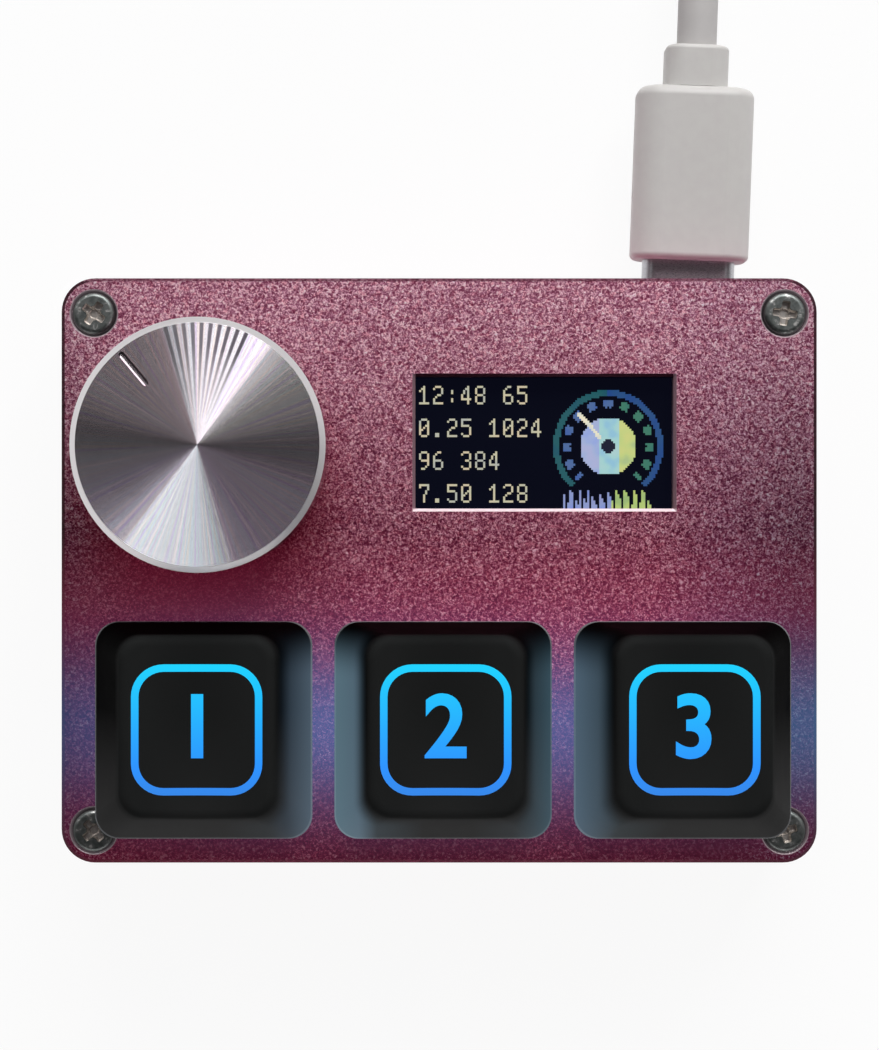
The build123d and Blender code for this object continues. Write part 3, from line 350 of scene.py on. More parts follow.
def anodised(name, lit):
    """Aluminium, bead-blasted and anodised rose: a crushed grain that glitters, with a painted sheen and
    painted shade across it. Its real pits are near 0.1 mm across, too fine to show, so they are drawn at 0.2
    mm. The lit plate also has its cut edges with painted shade and highlights, its screw seats with bright
    lips and bores painted dark as shadow with a faint grey glow, and the painted light of the lamps under the
    keys."""
    made, tree, shader = finish_of(name, {
        "Metallic": 1.0, "Roughness": 0.5, "Emission Strength": 1.0 if lit else 0.0})
    place = add(tree, "TexCoord").outputs["Object"]
    x, y, _ = add(tree, "SeparateXYZ", None, {0: place}).outputs
    sideways = add(tree, "MapRange", {"From Min": plate_low.x, "From Max": plate_high.x}, {"Value": x})
    blasted = {"Scale": 1 / (0.2 * MM), "Detail": 2.0, "Roughness": 0.6, "Distortion": 0.8}
    grit = add(tree, "TexNoise", blasted, {"Vector": place})
    body = rose_dye(tree, place, y, sideways, grit)
    if lit:
        body = cut_edges(tree, place, y, body)
        nearest = from_screw(tree, place)
        seat = add(tree, "Math", {"operation": "LESS_THAN", 1: seat_radius}, {0: nearest})
        lip = add(tree, "Math", {"operation": "GREATER_THAN", 1: seat_lip}, {0: nearest})
        # Painted shadow in the bore of each screw seat, inside its bright lip.
        seat_shadow_and_lip = add(tree, "Mix", {**BLEND, 6: "#2A2428", 7: "#F0DCE2"}, {0: lip})
        body = add(tree, "Mix", BLEND, {0: seat, 6: body, 7: seat_shadow_and_lip})
        body, glow = light_below(tree, place, y, sideways, body)
        # A faint grey glow is painted in the screw seats, and the rest of the plate takes the painted light
        # of the lamps under the keys.
        feed(tree, shader, {"Emission Color": add(tree, "Mix", {**BLEND, 7: "#3C3639"}, {0: seat, 6: glow})})
    feed(tree, shader, {
        "Base Color": body,
        "Normal": add(tree, "Bump", {"Distance": 0.03 * MM}, {"Height": grit}),
    })
    return made


def faced_tone(tree, flat, distance):
    """Colour of the knob's turned face: fine marks round the axis, fans of light painted as sectors that are
    brighter or duller where the lamps' reflections fall, and dark streaks painted across the top fan."""
    right, back, _ = add(tree, "SeparateXYZ", None, {0: flat}).outputs
    bearing = add(tree, "Math", {"operation": "ARCTAN2"}, {0: right, 1: back})
    round_face = add(tree, "MapRange", {"From Min": -pi, "From Max": pi}, {"Value": bearing})
    turned = add(tree, "Math", {"operation": "MULTIPLY", 1: 360 / fan_streak_angle}, {0: bearing})
    streak_wave = add(tree, "Math", {"operation": "COSINE"}, {0: turned})
    gap = add(tree, "MapRange", {"From Min": 0.2, "From Max": -0.5}, {"Value": streak_wave})
    outside = add(tree, "MapRange", {"From Min": 2 * MM, "From Max": 8 * MM}, {"Value": distance})
    # The top fan of light, where dark streaks are painted.
    top_fan_sector = add(tree, "ValToRGB", {"stops": [
        (0.445, "#000000"), (0.455, "#E0E0E0"), (0.572, "#FFFFFF"), (0.576, "#000000"),
    ]}, {"Fac": round_face})
    streaked = add(tree, "Math", {"operation": "MULTIPLY"}, {0: gap, 1: outside})
    streak = add(tree, "Math", {"operation": "MULTIPLY"}, {0: streaked, 1: top_fan_sector})
    # Painted highlights and shade: sectors brighter where the lamps' fans fall, and duller between them.
    painted_fans = add(tree, "ValToRGB", {"stops": [
        (0.0, "#D4DEDE"), (0.100, "#D4DEDE"), (0.106, "#AEAEB4"), (0.20, "#C4C0C8"), (0.25, "#FFFFFF"),
        (0.42, "#FFF4F4"), (0.45, "#E8D8D8"), (0.456, "#FFFFFF"), (0.600, "#FFFFFF"), (0.606, "#C3C3C3"),
        (0.66, "#E0E4DC"), (0.75, "#FAFAFA"), (0.80, "#F4ECF6"), (0.95, "#C8C0CA"), (0.957, "#D4DEDE"),
    ]}, {"Fac": round_face})
    fine = add(tree, "TexNoise", {"noise_dimensions": "1D", "Scale": 28.0, "Detail": 4.0}, {"W": bearing})
    marks = add(tree, "ValToRGB", {"stops": [
        (0.32, "#887E90"), (0.42, "#8E8488"), (0.5, "#888A90"), (0.58, "#928886"), (0.68, "#988E94"),
    ]}, {"Fac": fine})
    marks_and_fans = add(tree, "Mix", {**TINT, 0: 1.0}, {6: marks, 7: painted_fans})
    return add(tree, "Mix", {**BLEND, 7: "#302C32"}, {0: streak, 6: marks_and_fans})


def turned_aluminium():
    """Aluminium faced on a lathe: rings 0.05 mm apart throw narrow fans of light across the face. The
    pointer groove is milled, and the rim is cut bright with a sharp tool."""
    made, tree, shader = finish_of("turned_aluminium", {"Metallic": 1.0, "Anisotropic": 1.0})
    coordinates = add(tree, "TexCoord")
    place = coordinates.outputs["Object"]
    axis = (knob_centre.x, knob_centre.y, 0)
    from_axis = add(tree, "VectorMath", {"operation": "SUBTRACT", 1: axis}, {0: place})
    flat = add(tree, "VectorMath", {"operation": "MULTIPLY", 1: (1, 1, 0)}, {0: from_axis})
    distance = add(tree, "VectorMath", {"operation": "LENGTH"}, {0: flat})
    outward = add(tree, "VectorMath", {"operation": "NORMALIZE"}, {0: flat})
    height = add(tree, "SeparateXYZ", None, {0: place}).outputs["Z"]
    on_face = add(tree, "Math", {"operation": "GREATER_THAN", 1: knob_high.z - HAIR}, {0: height})

    # The two flanks of each ring lean outwards and inwards in turn.
    turns = add(tree, "Math", {"operation": "MULTIPLY", 1: 2 * pi / ring_pitch}, {0: distance})
    wave = add(tree, "Math", {"operation": "SINE"}, {0: turns})
    flank = add(tree, "Math", {"operation": "SIGN"}, {0: wave})
    slope = add(tree, "Math", {"operation": "MULTIPLY", 1: ring_slope}, {0: flank})
    face_slope = add(tree, "Math", {"operation": "MULTIPLY"}, {0: slope, 1: on_face})
    ring_tilt = add(tree, "VectorMath", {"operation": "SCALE"}, {0: outward, "Scale": face_slope})

    # The groove's floor leans to the back, one side of it more than the other.
    near_top = add(tree, "Math", {"operation": "GREATER_THAN", 1: knob_high.z - groove_depth}, {0: height})
    inside_rim = add(tree, "Math", {"operation": "LESS_THAN", 1: groove_end}, {0: distance})
    sunk = add(tree, "Math", {"operation": "SUBTRACT"}, {0: near_top, 1: on_face})
    in_groove = add(tree, "Math", {"operation": "MULTIPLY"}, {0: sunk, 1: inside_rim})
    side_of_groove = (cos(groove_bearing), sin(groove_bearing), 0)
    across = add(tree, "VectorMath", {"operation": "DOT_PRODUCT", 1: side_of_groove}, {0: flat})
    milled = add(tree, "MapRange", {"From Min": -0.08 * MM, "From Max": -0.16 * MM,
                                    "To Min": 0.2, "To Max": 0.36}, {"Value": across})
    groove_slope = add(tree, "Math", {"operation": "MULTIPLY"}, {0: in_groove, 1: milled})
    groove_tilt = add(tree, "VectorMath", {"operation": "SCALE", 0: (0.1, 0.95, 0)}, {"Scale": groove_slope})

    tilts = add(tree, "VectorMath", {"operation": "ADD"}, {0: ring_tilt, 1: groove_tilt})
    leaning = add(tree, "VectorMath", {"operation": "ADD"}, {0: coordinates.outputs["Normal"], 1: tilts})
    around = add(tree, "VectorMath", {"operation": "CROSS_PRODUCT", 1: (0, 0, 1)}, {0: outward})
    at_rim = add(tree, "Math", {"operation": "GREATER_THAN", 1: rim_radius}, {0: distance})
    at_top = add(tree, "Math", {"operation": "GREATER_THAN", 1: knob_high.z - rim_depth}, {0: height})
    rim = add(tree, "Math", {"operation": "MULTIPLY"}, {0: at_rim, 1: at_top})
    # The face's colour carries painted fans of light and painted streaks.
    faced = faced_tone(tree, flat, distance)
    feed(tree, shader, {
        "Base Color": add(tree, "Mix", {**BLEND, 7: "#E4E0E2"}, {0: rim, 6: faced}),
        "Roughness": add(tree, "MapRange", {"To Min": 0.17, "To Max": 0.4}, {"Value": rim}),
        "Normal": add(tree, "VectorTransform", {"vector_type": "NORMAL", **TO_WORLD}, {0: leaning}),
        "Tangent": add(tree, "VectorTransform", {"vector_type": "VECTOR", **TO_WORLD}, {0: around}),
    })
    return made


def key_plastic():
    """Moulded ABS keycap, black and a little greyer on top. Its walls are painted black as shade at the back
    and grey towards the front, and a pale line is painted round its skirt as a highlight. A painted glow
    stands for the lamps under the keys, which wash the walls that face each other."""
    made, tree, shader = finish_of("black_abs", {"Specular IOR Level": 0.001})
    place = add(tree, "TexCoord").outputs["Object"]
    x, y, z = add(tree, "SeparateXYZ", None, {0: place}).outputs
    texture = add(tree, "TexNoise", {"Scale": 1 / (0.06 * MM), "Detail": 2.0}, {"Vector": place})
    worn = add(tree, "TexNoise", {"Scale": 1 / (2.5 * MM), "Detail": 3.0}, {"Vector": place})
    walls = [  # millimetres from the middle of the plate, and the colour of the lamp glow painted on a wall there
        (-18.0, "#000000"), (-14.2, "#141A1E"), (-12.8, "#26303A"), (-10.6, "#4C5C6A"), (-9.2, "#56707C"),
        (-6.8, "#4E6270"), (-5.4, "#242E34"), (-1.5, "#000000"), (2.5, "#000000"), (6.0, "#161C20"),
        (7.6, "#2A3840"), (9.6, "#38505C"), (11.2, "#4C6070"), (12.8, "#3C4C58"), (14.6, "#1E262A"),
        (18.5, "#000000"),
    ]
    across = add(tree, "MapRange", {"From Min": plate_low.x, "From Max": plate_high.x}, {"Value": x})
    stops = [(0.5 + wall_x * MM / plate_width, tone) for wall_x, tone in walls]
    washed = add(tree, "ValToRGB", {"stops": stops}, {"Fac": across})
    low = add(tree, "MapRange", {**SMOOTH, "From Min": cap_rim - 0.6 * MM, "From Max": cap_rim - 4.5 * MM},
              {"Value": z})
    front = add(tree, "MapRange", {**SMOOTH, "From Min": -4.5 * MM, "From Max": -9 * MM}, {"Value": y})
    to_front = add(tree, "MapRange", {"From Min": key_row_y + 2 * MM, "From Max": key_row_y - 8 * MM},
                   {"Value": y})
    toward_top = add(tree, "MapRange", {"From Min": cap_rim - 2 * MM, "From Max": cap_rim - 0.4 * MM},
                  {"Value": z})
    # Painted highlight: a pale line round the bottom of the skirt.
    skirt = add(tree, "MapRange", {"From Min": cap_bottom + 0.5 * MM, "From Max": cap_bottom + 0.3 * MM},
                {"Value": z})
    # Painted shade and light: the walls are black at the back and grey towards the front.
    wall = add(tree, "Mix", {**BLEND, 6: "#020202", 7: "#3C3C3C"}, {0: to_front})
    cap_tone_and_shade = add(tree, "Mix", {**BLEND, 7: "#212222"}, {0: toward_top, 6: wall})
    feed(tree, shader, {
        "Base Color": add(tree, "Mix", {**BLEND, 7: "#747678"}, {0: skirt, 6: cap_tone_and_shade}),
        "Roughness": add(tree, "MapRange", {"To Min": 0.42, "To Max": 0.56}, {"Value": worn}),
        "Normal": add(tree, "Bump", {"Distance": 0.004 * MM}, {"Height": texture}),
        "Emission Color": washed,
        "Emission Strength": add(tree, "Math", {"operation": "MULTIPLY"}, {0: low, 1: front}),
    })
    return made


def blackened_steel():
    """Blackened steel screw: the head is dark with a few bright scratches and painted shade on its round
    edge, and its cross is worn bare."""
    made, tree, shader = finish_of("blackened_steel", {"Metallic": 1.0, "Roughness": 0.42})
    place = add(tree, "TexCoord").outputs["Object"]
    height = add(tree, "SeparateXYZ", None, {0: place}).outputs["Z"]
    reach = from_screw(tree, place)
    marked = {"Scale": 1 / (0.5 * MM), "Detail": 3.0, "Distortion": 0.4}
    scratches = add(tree, "TexNoise", marked, {"Vector": place})
    head = add(tree, "ValToRGB", {"stops": [(0.36, "#6C7270"), (0.6, "#8A8E8C"), (0.7, "#DCDCD8")]},
               {"Fac": scratches})
    # Painted shade: the head darkens towards its round edge.
    edge_shade = add(tree, "MapRange", {"From Min": head_flat, "From Max": head_radius}, {"Value": reach})
    edge_shaded = add(tree, "Mix", {**BLEND, 7: "#545655"}, {0: edge_shade, 6: head})
    sunk = add(tree, "Math", {"operation": "LESS_THAN", 1: screw_top - cross_depth}, {0: height})
    in_cross = add(tree, "Math", {"operation": "LESS_THAN", 1: cross_reach}, {0: reach})
    bare = add(tree, "Math", {"operation": "MULTIPLY"}, {0: sunk, 1: in_cross})
    feed(tree, shader, {"Base Color": add(tree, "Mix", {**BLEND, 7: "#D4CEC8"}, {0: bare, 6: edge_shaded})})
    return made


def lit_polycarbonate():
    """Clear window moulded into the keycap and lit from below: cyan at the back, blue at the front."""
    made, tree, shader = finish_of("lit_polycarbonate", {
        "Base Color": "#101820", "Roughness": 0.45, "Emission Strength": 1.0})
    y = add(tree, "SeparateXYZ", None, {0: add(tree, "TexCoord").outputs["Object"]}).outputs["Y"]
    along = add(tree, "MapRange", {"From Min": key_row_y - 5.2 * MM, "From Max": key_row_y + 6.3 * MM},
                {"Value": y})
    feed(tree, shader, {"Emission Color": add(tree, "ValToRGB", {"stops": [
        (0.0, "#3080E0"), (0.25, "#2090FF"), (0.5, "#18A8FF"), (0.8, "#08C4FF"), (1.0, "#00D4FF"),
    ]}, {"Fac": along})})
    return made


def lit_pixels():
    """Pixels of a small colour display: each has its own colour, a little uneven from its backlight."""
    made, tree, shader = finish_of("lit_pixels", {
        "Base Color": "#05060C", "Roughness": 0.4, "Emission Strength": 1.0})
    place = add(tree, "TexCoord").outputs["Object"]
    uneven = add(tree, "TexNoise", {"Scale": 1 / (1.4 * MM), "Detail": 1.0}, {"Vector": place})
    backlight = add(tree, "ValToRGB", {"stops": [(0.35, "#B8C8E8"), (0.5, "#E8E8D8"), (0.65, "#FFE8D8")]},
                    {"Fac": uneven})
    own = add(tree, "Attribute", {"attribute_name": "pixel_colour"}).outputs["Color"]
    feed(tree, shader, {"Emission Color": add(tree, "Mix", {**TINT, 0: 0.6}, {6: own, 7: backlight})})
    return made


plate_finish = anodised("anodised_aluminium", True)
case_finish = anodised("anodised_aluminium_case", False)
knob_finish = turned_aluminium()
key_finish = key_plastic()
blackened = blackened_steel()
legend_finish = lit_polycarbonate()
pixel_finish = lit_pixels()
# Nickel on stamped steel: pale grey, with the long lines of its rolling.
nickel = plated("nickel_plated_steel", "#C8C8CC", "#A4A4A8", 0.28, 0.2, (1, 8, 8))
# Nickel on brass that wears through: warmer, and cloudy.
brass = plated("nickel_plated_brass", "#D8D0B8", "#C0B490", 0.25, 0.2)
# Soft PVC over the plugs: warm pale grey, satin, with the faint pebble of its mould.
plug_finish = moulded("moulded_pvc", "#CDCBC8", "#CAC7C5", 0.45, 0.08, 0.003)
# Extruded cord jacket: the same grey, a shade darker and duller.
jacket = moulded("cord_jacket", "#BDBAB9", "#BAB7B6", 0.5, 0.1, 0.004)
# Silicone rubber: nearly black and quite matt.
rubber = moulded("silicone_rubber", "#1C1C1C", "#141414", 0.8, 0.15, 0.01)
# Nylon: black with a soft shine.
nylon = moulded("black_nylon", "#1E1E20", "#161617", 0.5, 0.1, 0.004)
# Smoky polycarbonate: blue grey, and smooth enough to gleam.
smoky = moulded("smoky_polycarbonate", "#8C98A0", "#76848C", 0.25, 0.2, 0.002)
# Acetal: pink, waxy and even.
acetal = moulded("acetal", "#D04868", "#B83C5C", 0.35, 0.1, 0.002)
# White ABS: clean, with a low gloss.
white_abs = moulded("white_abs", "#E2E2E0", "#D6D6D4", 0.4, 0.1, 0.002)
# Moulded resin of chips: charcoal and faintly gritty.
resin = moulded("moulded_resin", "#202024", "#17171A", 0.55, 0.08, 0.004)
# Closed-cell foam: black, matt and full of small pits.
foam = moulded("closed_cell_foam", "#18181A", "#101012", 0.9, 0.25, 0.05)
# Polyimide film: amber and glossy.
film = moulded("polyimide_film", "#B0661C", "#94520F", 0.3, 0.4, 0.002)
# Solder mask: very dark green under a glassy skin.
solder_mask = moulded("solder_mask", "#10251D", "#0A1A14", 0.3, 0.5, 0.004)
# Woven strap: black and rough, with the bloom of its fibres.
strap = moulded("woven_strap", "#1E1E20", "#0F0F10", 0.9, 0.3, 0.08, {"Sheen Weight": 0.3})
# Clear resin of the lamps: pale, and glowing cyan.
lamp_resin = moulded("clear_lamp_resin", "#D8F4FF", "#C8ECFF", 0.2, 0.3, 0.002,
                     {"Emission Color": "#20B8FF", "Emission Strength": 2.0})
# Display glass: black and mirror smooth, with the faint blue of the lit panel under it.
glass = moulded("display_glass", "#04050A", "#030408", 0.07, 3, 0.0,
                {"Specular IOR Level": 0.15, "Emission Color": "#0A0C1C", "Emission Strength": 0.6})

finishes = [
    (plate_finish, ["top_plate"]),
    (case_finish, ["bottom_case"]),
    (blackened, ["case_screws", "knob_set_screw"]),
    (rubber, ["rubber_feet"]),
    (solder_mask, ["circuit_board"]),
    (resin, ["controller_chip", "board_components", "key_sensors", "usb_socket_tongue"]),
    (lamp_resin, ["key_lights"]),
    (nickel, ["board_screws", "usb_socket_shell", "encoder_cover", "encoder_dome", "encoder_shaft",
              "plug_shell", "far_plug_shell", "switch_spring_1", "switch_spring_2", "switch_spring_3",
              "switch_magnet_1", "switch_magnet_2", "switch_magnet_3"]),
    (brass, ["encoder_bushing"]),
    (nylon, ["encoder_base", "switch_base_1", "switch_base_2", "switch_base_3"]),
    (smoky, ["switch_cover_1", "switch_cover_2", "switch_cover_3"]),
    (acetal, ["switch_stem_1", "switch_stem_2", "switch_stem_3"]),
    (key_finish, ["keycap_1", "keycap_2", "keycap_3"]),
    (white_abs, ["encoder_rotor", "display_backlight", "flex_connector", "far_plug_tongue"]),
    (knob_finish, ["knob"]),
    (glass, ["display_glass"]),
    (foam, ["display_gasket", "display_pad"]),
    (film, ["display_flex"]),
    (plug_finish, ["plug_body", "plug_collar", "far_plug_body"]),
    (jacket, ["cord_lead", "cord_coil", "cord_tail"]),
    (strap, ["coil_tie"]),
]
for finish, names in finishes:
    for name in names:
        nodes[name].data.materials.clear()
        nodes[name].data.materials.append(finish)
cord_data.materials.append(jacket)


# ---- New pieces ----
def piece(name, mesh, finish, body, smooth=False):
    """A finished mesh as a piece that rides on a body."""
    data = bpy.data.meshes.new(name)
    mesh.to_mesh(data)
    mesh.free()
    data.materials.append(finish)
    for face in data.polygons:
        face.use_smooth = smooth
    made = put(bpy.data.objects.new(name, data))
    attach(made, body)
    return made


def rounded_ring(width, depth, corner, segments, wall):
    """A flat ring with rounded corners. Width and depth are its outside sizes."""
    ring = bmesh.new()
    bmesh.ops.create_grid(ring, x_segments=1, y_segments=1, size=0.5)
    bmesh.ops.scale(ring, vec=(width, depth, 1), verts=ring.verts[:])
    bmesh.ops.bevel(ring, geom=ring.verts[:], offset=corner, offset_type="OFFSET", segments=segments,
                    profile=0.5, affect="VERTICES", material=-1)
    middle = ring.faces[:]
    bmesh.ops.inset_region(ring, faces=middle, thickness=wall, use_boundary=True, use_even_offset=True)
    bmesh.ops.delete(ring, geom=middle, context="FACES")
    return ring


def thicken(mesh, height):
    """Extrudes a flat mesh upwards, or downwards by a negative height, into a closed solid."""
    grown = bmesh.ops.extrude_face_region(mesh, geom=mesh.faces[:])["geom"]
    moved = [element for element in grown if isinstance(element, bmesh.types.BMVert)]
    bmesh.ops.translate(mesh, verts=moved, vec=UP * height)
    bmesh.ops.recalc_face_normals(mesh, faces=mesh.faces[:])


def cut_strips(mesh, low, high, width):
    """Cuts a flat mesh into strips along Y, so that it can follow the dish of a keycap."""
    cut = low
    while cut < high:
        bmesh.ops.bisect_plane(mesh, geom=mesh.verts[:] + mesh.edges[:] + mesh.faces[:], dist=WELD,
                               plane_co=(cut, 0, 0), plane_no=(1, 0, 0))
        cut += width


# Legends: a number inside a rounded square, moulded flush with the dished top of each keycap.
legend_size, legend_corner, legend_stroke, legend_forward = 10.6 * MM, 2.6 * MM, 0.6 * MM, 0.3 * MM
legend_proud, legend_depth, legend_strip = 0.02 * MM, 0.15 * MM, 0.6 * MM
figure_size, figure_swell = 7.2 * MM, 0.14 * MM
dish_radius = ((cap_top_width / 2) ** 2 + cap_dish**2) / (2 * cap_dish)
for number, (low, high) in enumerate(cap_boxes, 1):
    centre = Vector(((low.x + high.x) / 2, key_row_y + cap_top_shift - legend_forward, 0))
    legend = rounded_ring(legend_size, legend_size, legend_corner, 10, legend_stroke)
    figure = bpy.data.curves.new(f"figure_{number}", "FONT")
    figure.body = str(number)
    figure.size, figure.offset = figure_size, figure_swell
    figure.align_x, figure.align_y = "CENTER", "CENTER"
    figure.resolution_u = 6
    written = put(bpy.data.objects.new(f"figure_{number}", figure))
    flat_figure = bpy.data.meshes.new_from_object(written)
    bpy.data.objects.remove(written)
    legend.from_mesh(flat_figure)
    bpy.data.meshes.remove(flat_figure)
    bmesh.ops.translate(legend, verts=legend.verts[:], vec=centre)
    cut_strips(legend, low.x, high.x, legend_strip)
    bmesh.ops.remove_doubles(legend, verts=legend.verts[:], dist=WELD)
    bmesh.ops.recalc_face_normals(legend, faces=legend.faces[:])
    if sum(face.normal.z for face in legend.faces) < 0:
        bmesh.ops.reverse_faces(legend, faces=legend.faces[:])
    for vertex in legend.verts:
        drop = dish_radius - (dish_radius**2 - (vertex.co.x - centre.x) ** 2) ** 0.5
        vertex.co.z = cap_rim - cap_dish + drop + legend_proud
    thicken(legend, -legend_depth)
    piece(f"legend_{number}", legend, legend_finish, f"key_{number}")

# Display: the lit pixels of a 128 by 64 colour panel, four rows of numbers beside a round gauge.
columns, rows = 128, 64
readings = ("12:48 65", "0.25 1024", "96 384", "7.50 128")
glyphs = {
    "0": "01110 10001 10001 10011 10101 11001 10001 10001 01110",
    "1": "00100 01100 10100 00100 00100 00100 00100 00100 11111",
    "2": "01110 10001 00001 00001 00110 01000 10000 10000 11111",
    "3": "01110 10001 00001 00001 00110 00001 00001 10001 01110",
    "4": "00010 00110 01010 01010 10010 10010 11111 00010 00010",
    "5": "11111 10000 10000 11110 00001 00001 00001 10001 01110",
    "6": "00110 01000 10000 10000 11110 10001 10001 10001 01110",
    "7": "11111 10001 00001 00010 00010 00100 00100 00100 00100",
    "8": "01110 10001 10001 10001 01110 10001 10001 10001 01110",
    "9": "01110 10001 10001 10001 01111 00001 00001 00010 01100",
    ":": "00000 00000 00100 00100 00000 00000 00100 00100 00000",
    ".": "00000 00000 00000 00000 00000 00000 00000 01100 01100",
    " ": "00000 00000 00000 00000 00000 00000 00000 00000 00000",
}
text_left, text_top, letter_pitch, line_pitch = 2, 4, 7, 16
gauge, gauge_radius, gauge_sweep = Vector((96, 33)), 26, 2.4


def gauge_shade(column, row):
    """The colour of one pixel of the gauge, or None where it is dark. Sizes are in pixels."""
    away = Vector((column, row)) - gauge
    bearing = Vector((0, -1)).angle_signed(away, 0) if away.length > 0 else 0
    share = (column - gauge.x + gauge_radius) / (2 * gauge_radius)
    on_scale = abs(bearing) < gauge_sweep
    bar_top = 62 - column * 7 % 9
    if row > 54 and 74 <= column < 118 and column % 4 < 3 and row >= bar_top:
        return "#8C9CD8" if column < 98 else "#B4CC78"
    if away.length < 3.5:  # the hub
        return "#0C1430"
    if 5 < away.length < 22 and abs(bearing - 0.75) * away.length < 1.0:  # the needle
        return "#F0ECD8"
    if 24.5 < away.length < 27.5 and on_scale:  # the ring
        return "#1C5C68" if share < 0.5 else "#24508C"
    if 19 < away.length < 23 and on_scale and round(bearing / 0.2) % 2 == 0:  # the marks
        return "#4C6CA8" if share < 0.6 else "#3C7C6C"
    if away.length < 14:  # the disc
        return "#A8B8E8" if share < 0.42 else "#A8D8E0" if share < 0.6 else "#C8D88C"
    return None


lit = {}
for line, reading in enumerate(readings):
    for place, letter in enumerate(reading):
        for down, bits in enumerate(glyphs[letter].split()):
            for right, bit in enumerate(bits):
                if bit == "1":
                    column = text_left + letter_pitch * place + right
                    lit[column, text_top + line_pitch * line + down] = "#CCC8B0"
for column in range(columns):
    for row in range(rows):
        lit[column, row] = gauge_shade(column, row) or lit.get((column, row))
panel = bmesh.new()
bmesh.ops.create_grid(panel, x_segments=columns, y_segments=rows, size=0.5)
hues = panel.loops.layers.float_color.new("pixel_colour")
dark = []
for face in panel.faces:
    middle = face.calc_center_median()
    shade = lit[int((middle.x + 0.5) * columns), int((0.5 - middle.y) * rows)]
    if shade is None:
        dark.append(face)
    else:
        for corner in face.loops:
            corner[hues] = colour(shade)
bmesh.ops.delete(panel, geom=dark, context="FACES")
bmesh.ops.scale(panel, vec=(window_width, window_depth, 1), verts=panel.verts[:])
bmesh.ops.translate(panel, vec=window_centre + UP * (glass_top + HAIR), verts=panel.verts[:])
piece("display_pixels", panel, pixel_finish, "case")

# Tie: a woven strap round all turns of the coil.
tie_centre = (tie_low + tie_high) / 2
tie_width, tie_corner = 7 * MM, 2.2 * MM
tie_length = (3 * turn_pitch + cord_diameter + 2 * tie_thickness) * MM
tie_height = 2 * (cord_diameter + tie_thickness) * MM
tie = rounded_ring(tie_length, tie_height, tie_corner, 6, tie_thickness * MM)
thicken(tie, tie_width)
bmesh.ops.translate(tie, verts=tie.verts[:], vec=UP * -tie_width / 2)
for angle, axis in ((90, "X"), (tie_angle, "Z")):
    turn = Matrix.Rotation(radians(angle), 3, axis)
    bmesh.ops.rotate(tie, verts=tie.verts[:], cent=(0, 0, 0), matrix=turn)
bmesh.ops.translate(tie, verts=tie.verts[:], vec=(tie_centre.x, tie_centre.y, tie_height / 2))
tie_piece = piece("cord_tie", tie, strap, "case")
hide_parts("coil_tie")

# Springs and the encoder's snap dome: each is copied into a smooth piece of its own that rides on the case.
pressed = [(f"switch_spring_{number}", f"key_{number}_press", key_travel) for number in (1, 2, 3)]
for node, joint, travel in [*pressed, ("encoder_dome", "dial_press", knob_travel)]:
    low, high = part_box(node)
    sprung = bmesh.new()
    sprung.from_mesh(nodes[node].data)
    bmesh.ops.remove_doubles(sprung, verts=sprung.verts[:], dist=WELD)
    sprung_piece = piece(f"sprung_{node}", sprung, nickel, "case", smooth=True)
    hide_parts(node)
    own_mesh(sprung_piece)

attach(cord, "case")
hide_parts("cord_lead", "cord_coil", "cord_tail")

# ---- Light ----
# The room: white near the floor, dim overhead, and duller in front than behind.
world = bpy.data.worlds.new("studio")
world.use_nodes = True
scene.world = world
sky = world.node_tree
_, back, up = add(sky, "SeparateXYZ", None, {0: add(sky, "TexCoord").outputs["Generated"]}).outputs
dome = add(sky, "ValToRGB", {"stops": [
    (0.0, "#FFFFFF"), (0.22, "#FFFFFF"), (0.38, "#6C686A"), (1.0, "#625E60"),
]}, {"Fac": up})
behind = add(sky, "MapRange", {**SMOOTH, "From Min": -0.2, "From Max": 0.5}, {"Value": back})
backward = add(sky, "Mix", {**BLEND, 6: "#A0A0A0", 7: "#FFFFFF"}, {0: behind})
feed(sky, sky.nodes["Background"], {"Color": add(sky, "Mix", {**TINT, 0: 1.0}, {6: dome, 7: backward})})


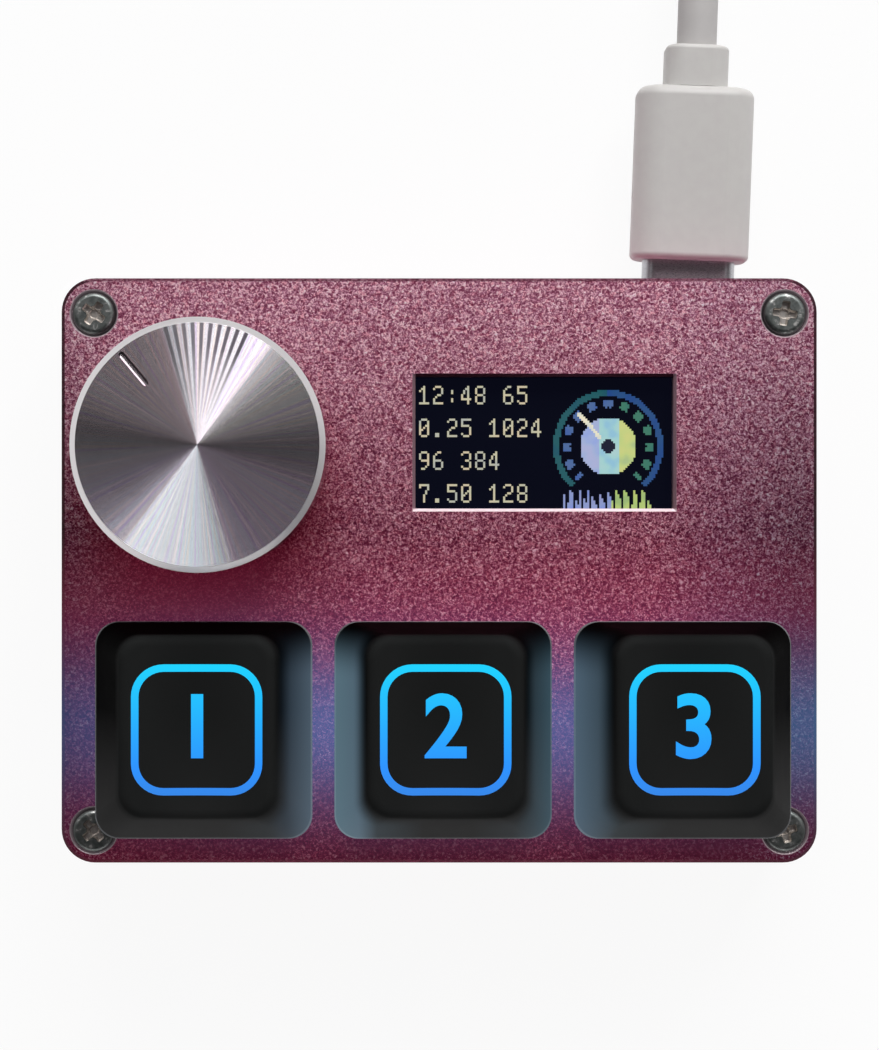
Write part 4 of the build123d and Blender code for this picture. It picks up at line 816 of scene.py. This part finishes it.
def softbox(name, azimuth, elevation, distance, width, height, radiance):
    """A rectangular lamp that looks at the knob. Azimuth 0 is behind the object, and turns to the right."""
    lamp = bpy.data.lights.new(name, "AREA")
    lamp.shape = "RECTANGLE"
    lamp.size, lamp.size_y = width, height
    lamp.energy = radiance * pi * width * height
    turned, raised = radians(azimuth), radians(elevation)
    away = Vector((cos(raised) * sin(turned), cos(raised) * cos(turned), sin(raised))) * distance
    made = put(bpy.data.objects.new(name, lamp))
    made.location = Vector((knob_centre.x, knob_centre.y, knob_high.z)) + away
    made.rotation_euler = away.to_track_quat("Z", "Y").to_euler()


softbox("back_softbox", 5.5, 40, 0.9, 0.50, 0.46, 7.5)
softbox("back_strip", 32, 40, 0.9, 0.12, 0.46, 12.0)
softbox("left_softbox", -50, 40, 0.9, 0.55, 0.4, 0.9)
softbox("right_softbox", 62, 40, 0.9, 0.3, 0.4, 1.1)
softbox("front_softbox", 180, 9, 1.2, 1.6, 0.36, 2.5)

# Table: white where it is looked at, straight or in metal and glass, apart from a share that keeps shadows.
table_glow = 0.93
table_mesh = bmesh.new()
bmesh.ops.create_grid(table_mesh, x_segments=1, y_segments=1, size=4)
table_data = bpy.data.meshes.new("table")
table_mesh.to_mesh(table_data)
table_mesh.free()
table = put(bpy.data.objects.new("table", table_data))
table_paint, table_tree, table_shader = finish_of("table_paint", {
    "Base Color": "#F2F2F2", "Roughness": 0.8, "Specular IOR Level": 0.1})
rays = add(table_tree, "LightPath").outputs
mirrored = add(table_tree, "Math", {"operation": "MAXIMUM"},
               {0: rays["Is Glossy Ray"], 1: rays["Is Transmission Ray"]})
looked_at = add(table_tree, "Math", {"operation": "MAXIMUM"}, {0: rays["Is Camera Ray"], 1: mirrored})
share = add(table_tree, "Math", {"operation": "MULTIPLY", 1: table_glow}, {0: looked_at})
white = add(table_tree, "Emission", {"Color": "#FFFFFF"})
mixed = add(table_tree, "MixShader", None, {0: share, 1: table_shader, 2: white})
feed(table_tree, table_tree.nodes["Material Output"], {"Surface": mixed})
table_data.materials.append(table_paint)

scene.view_settings.view_transform = "Standard"
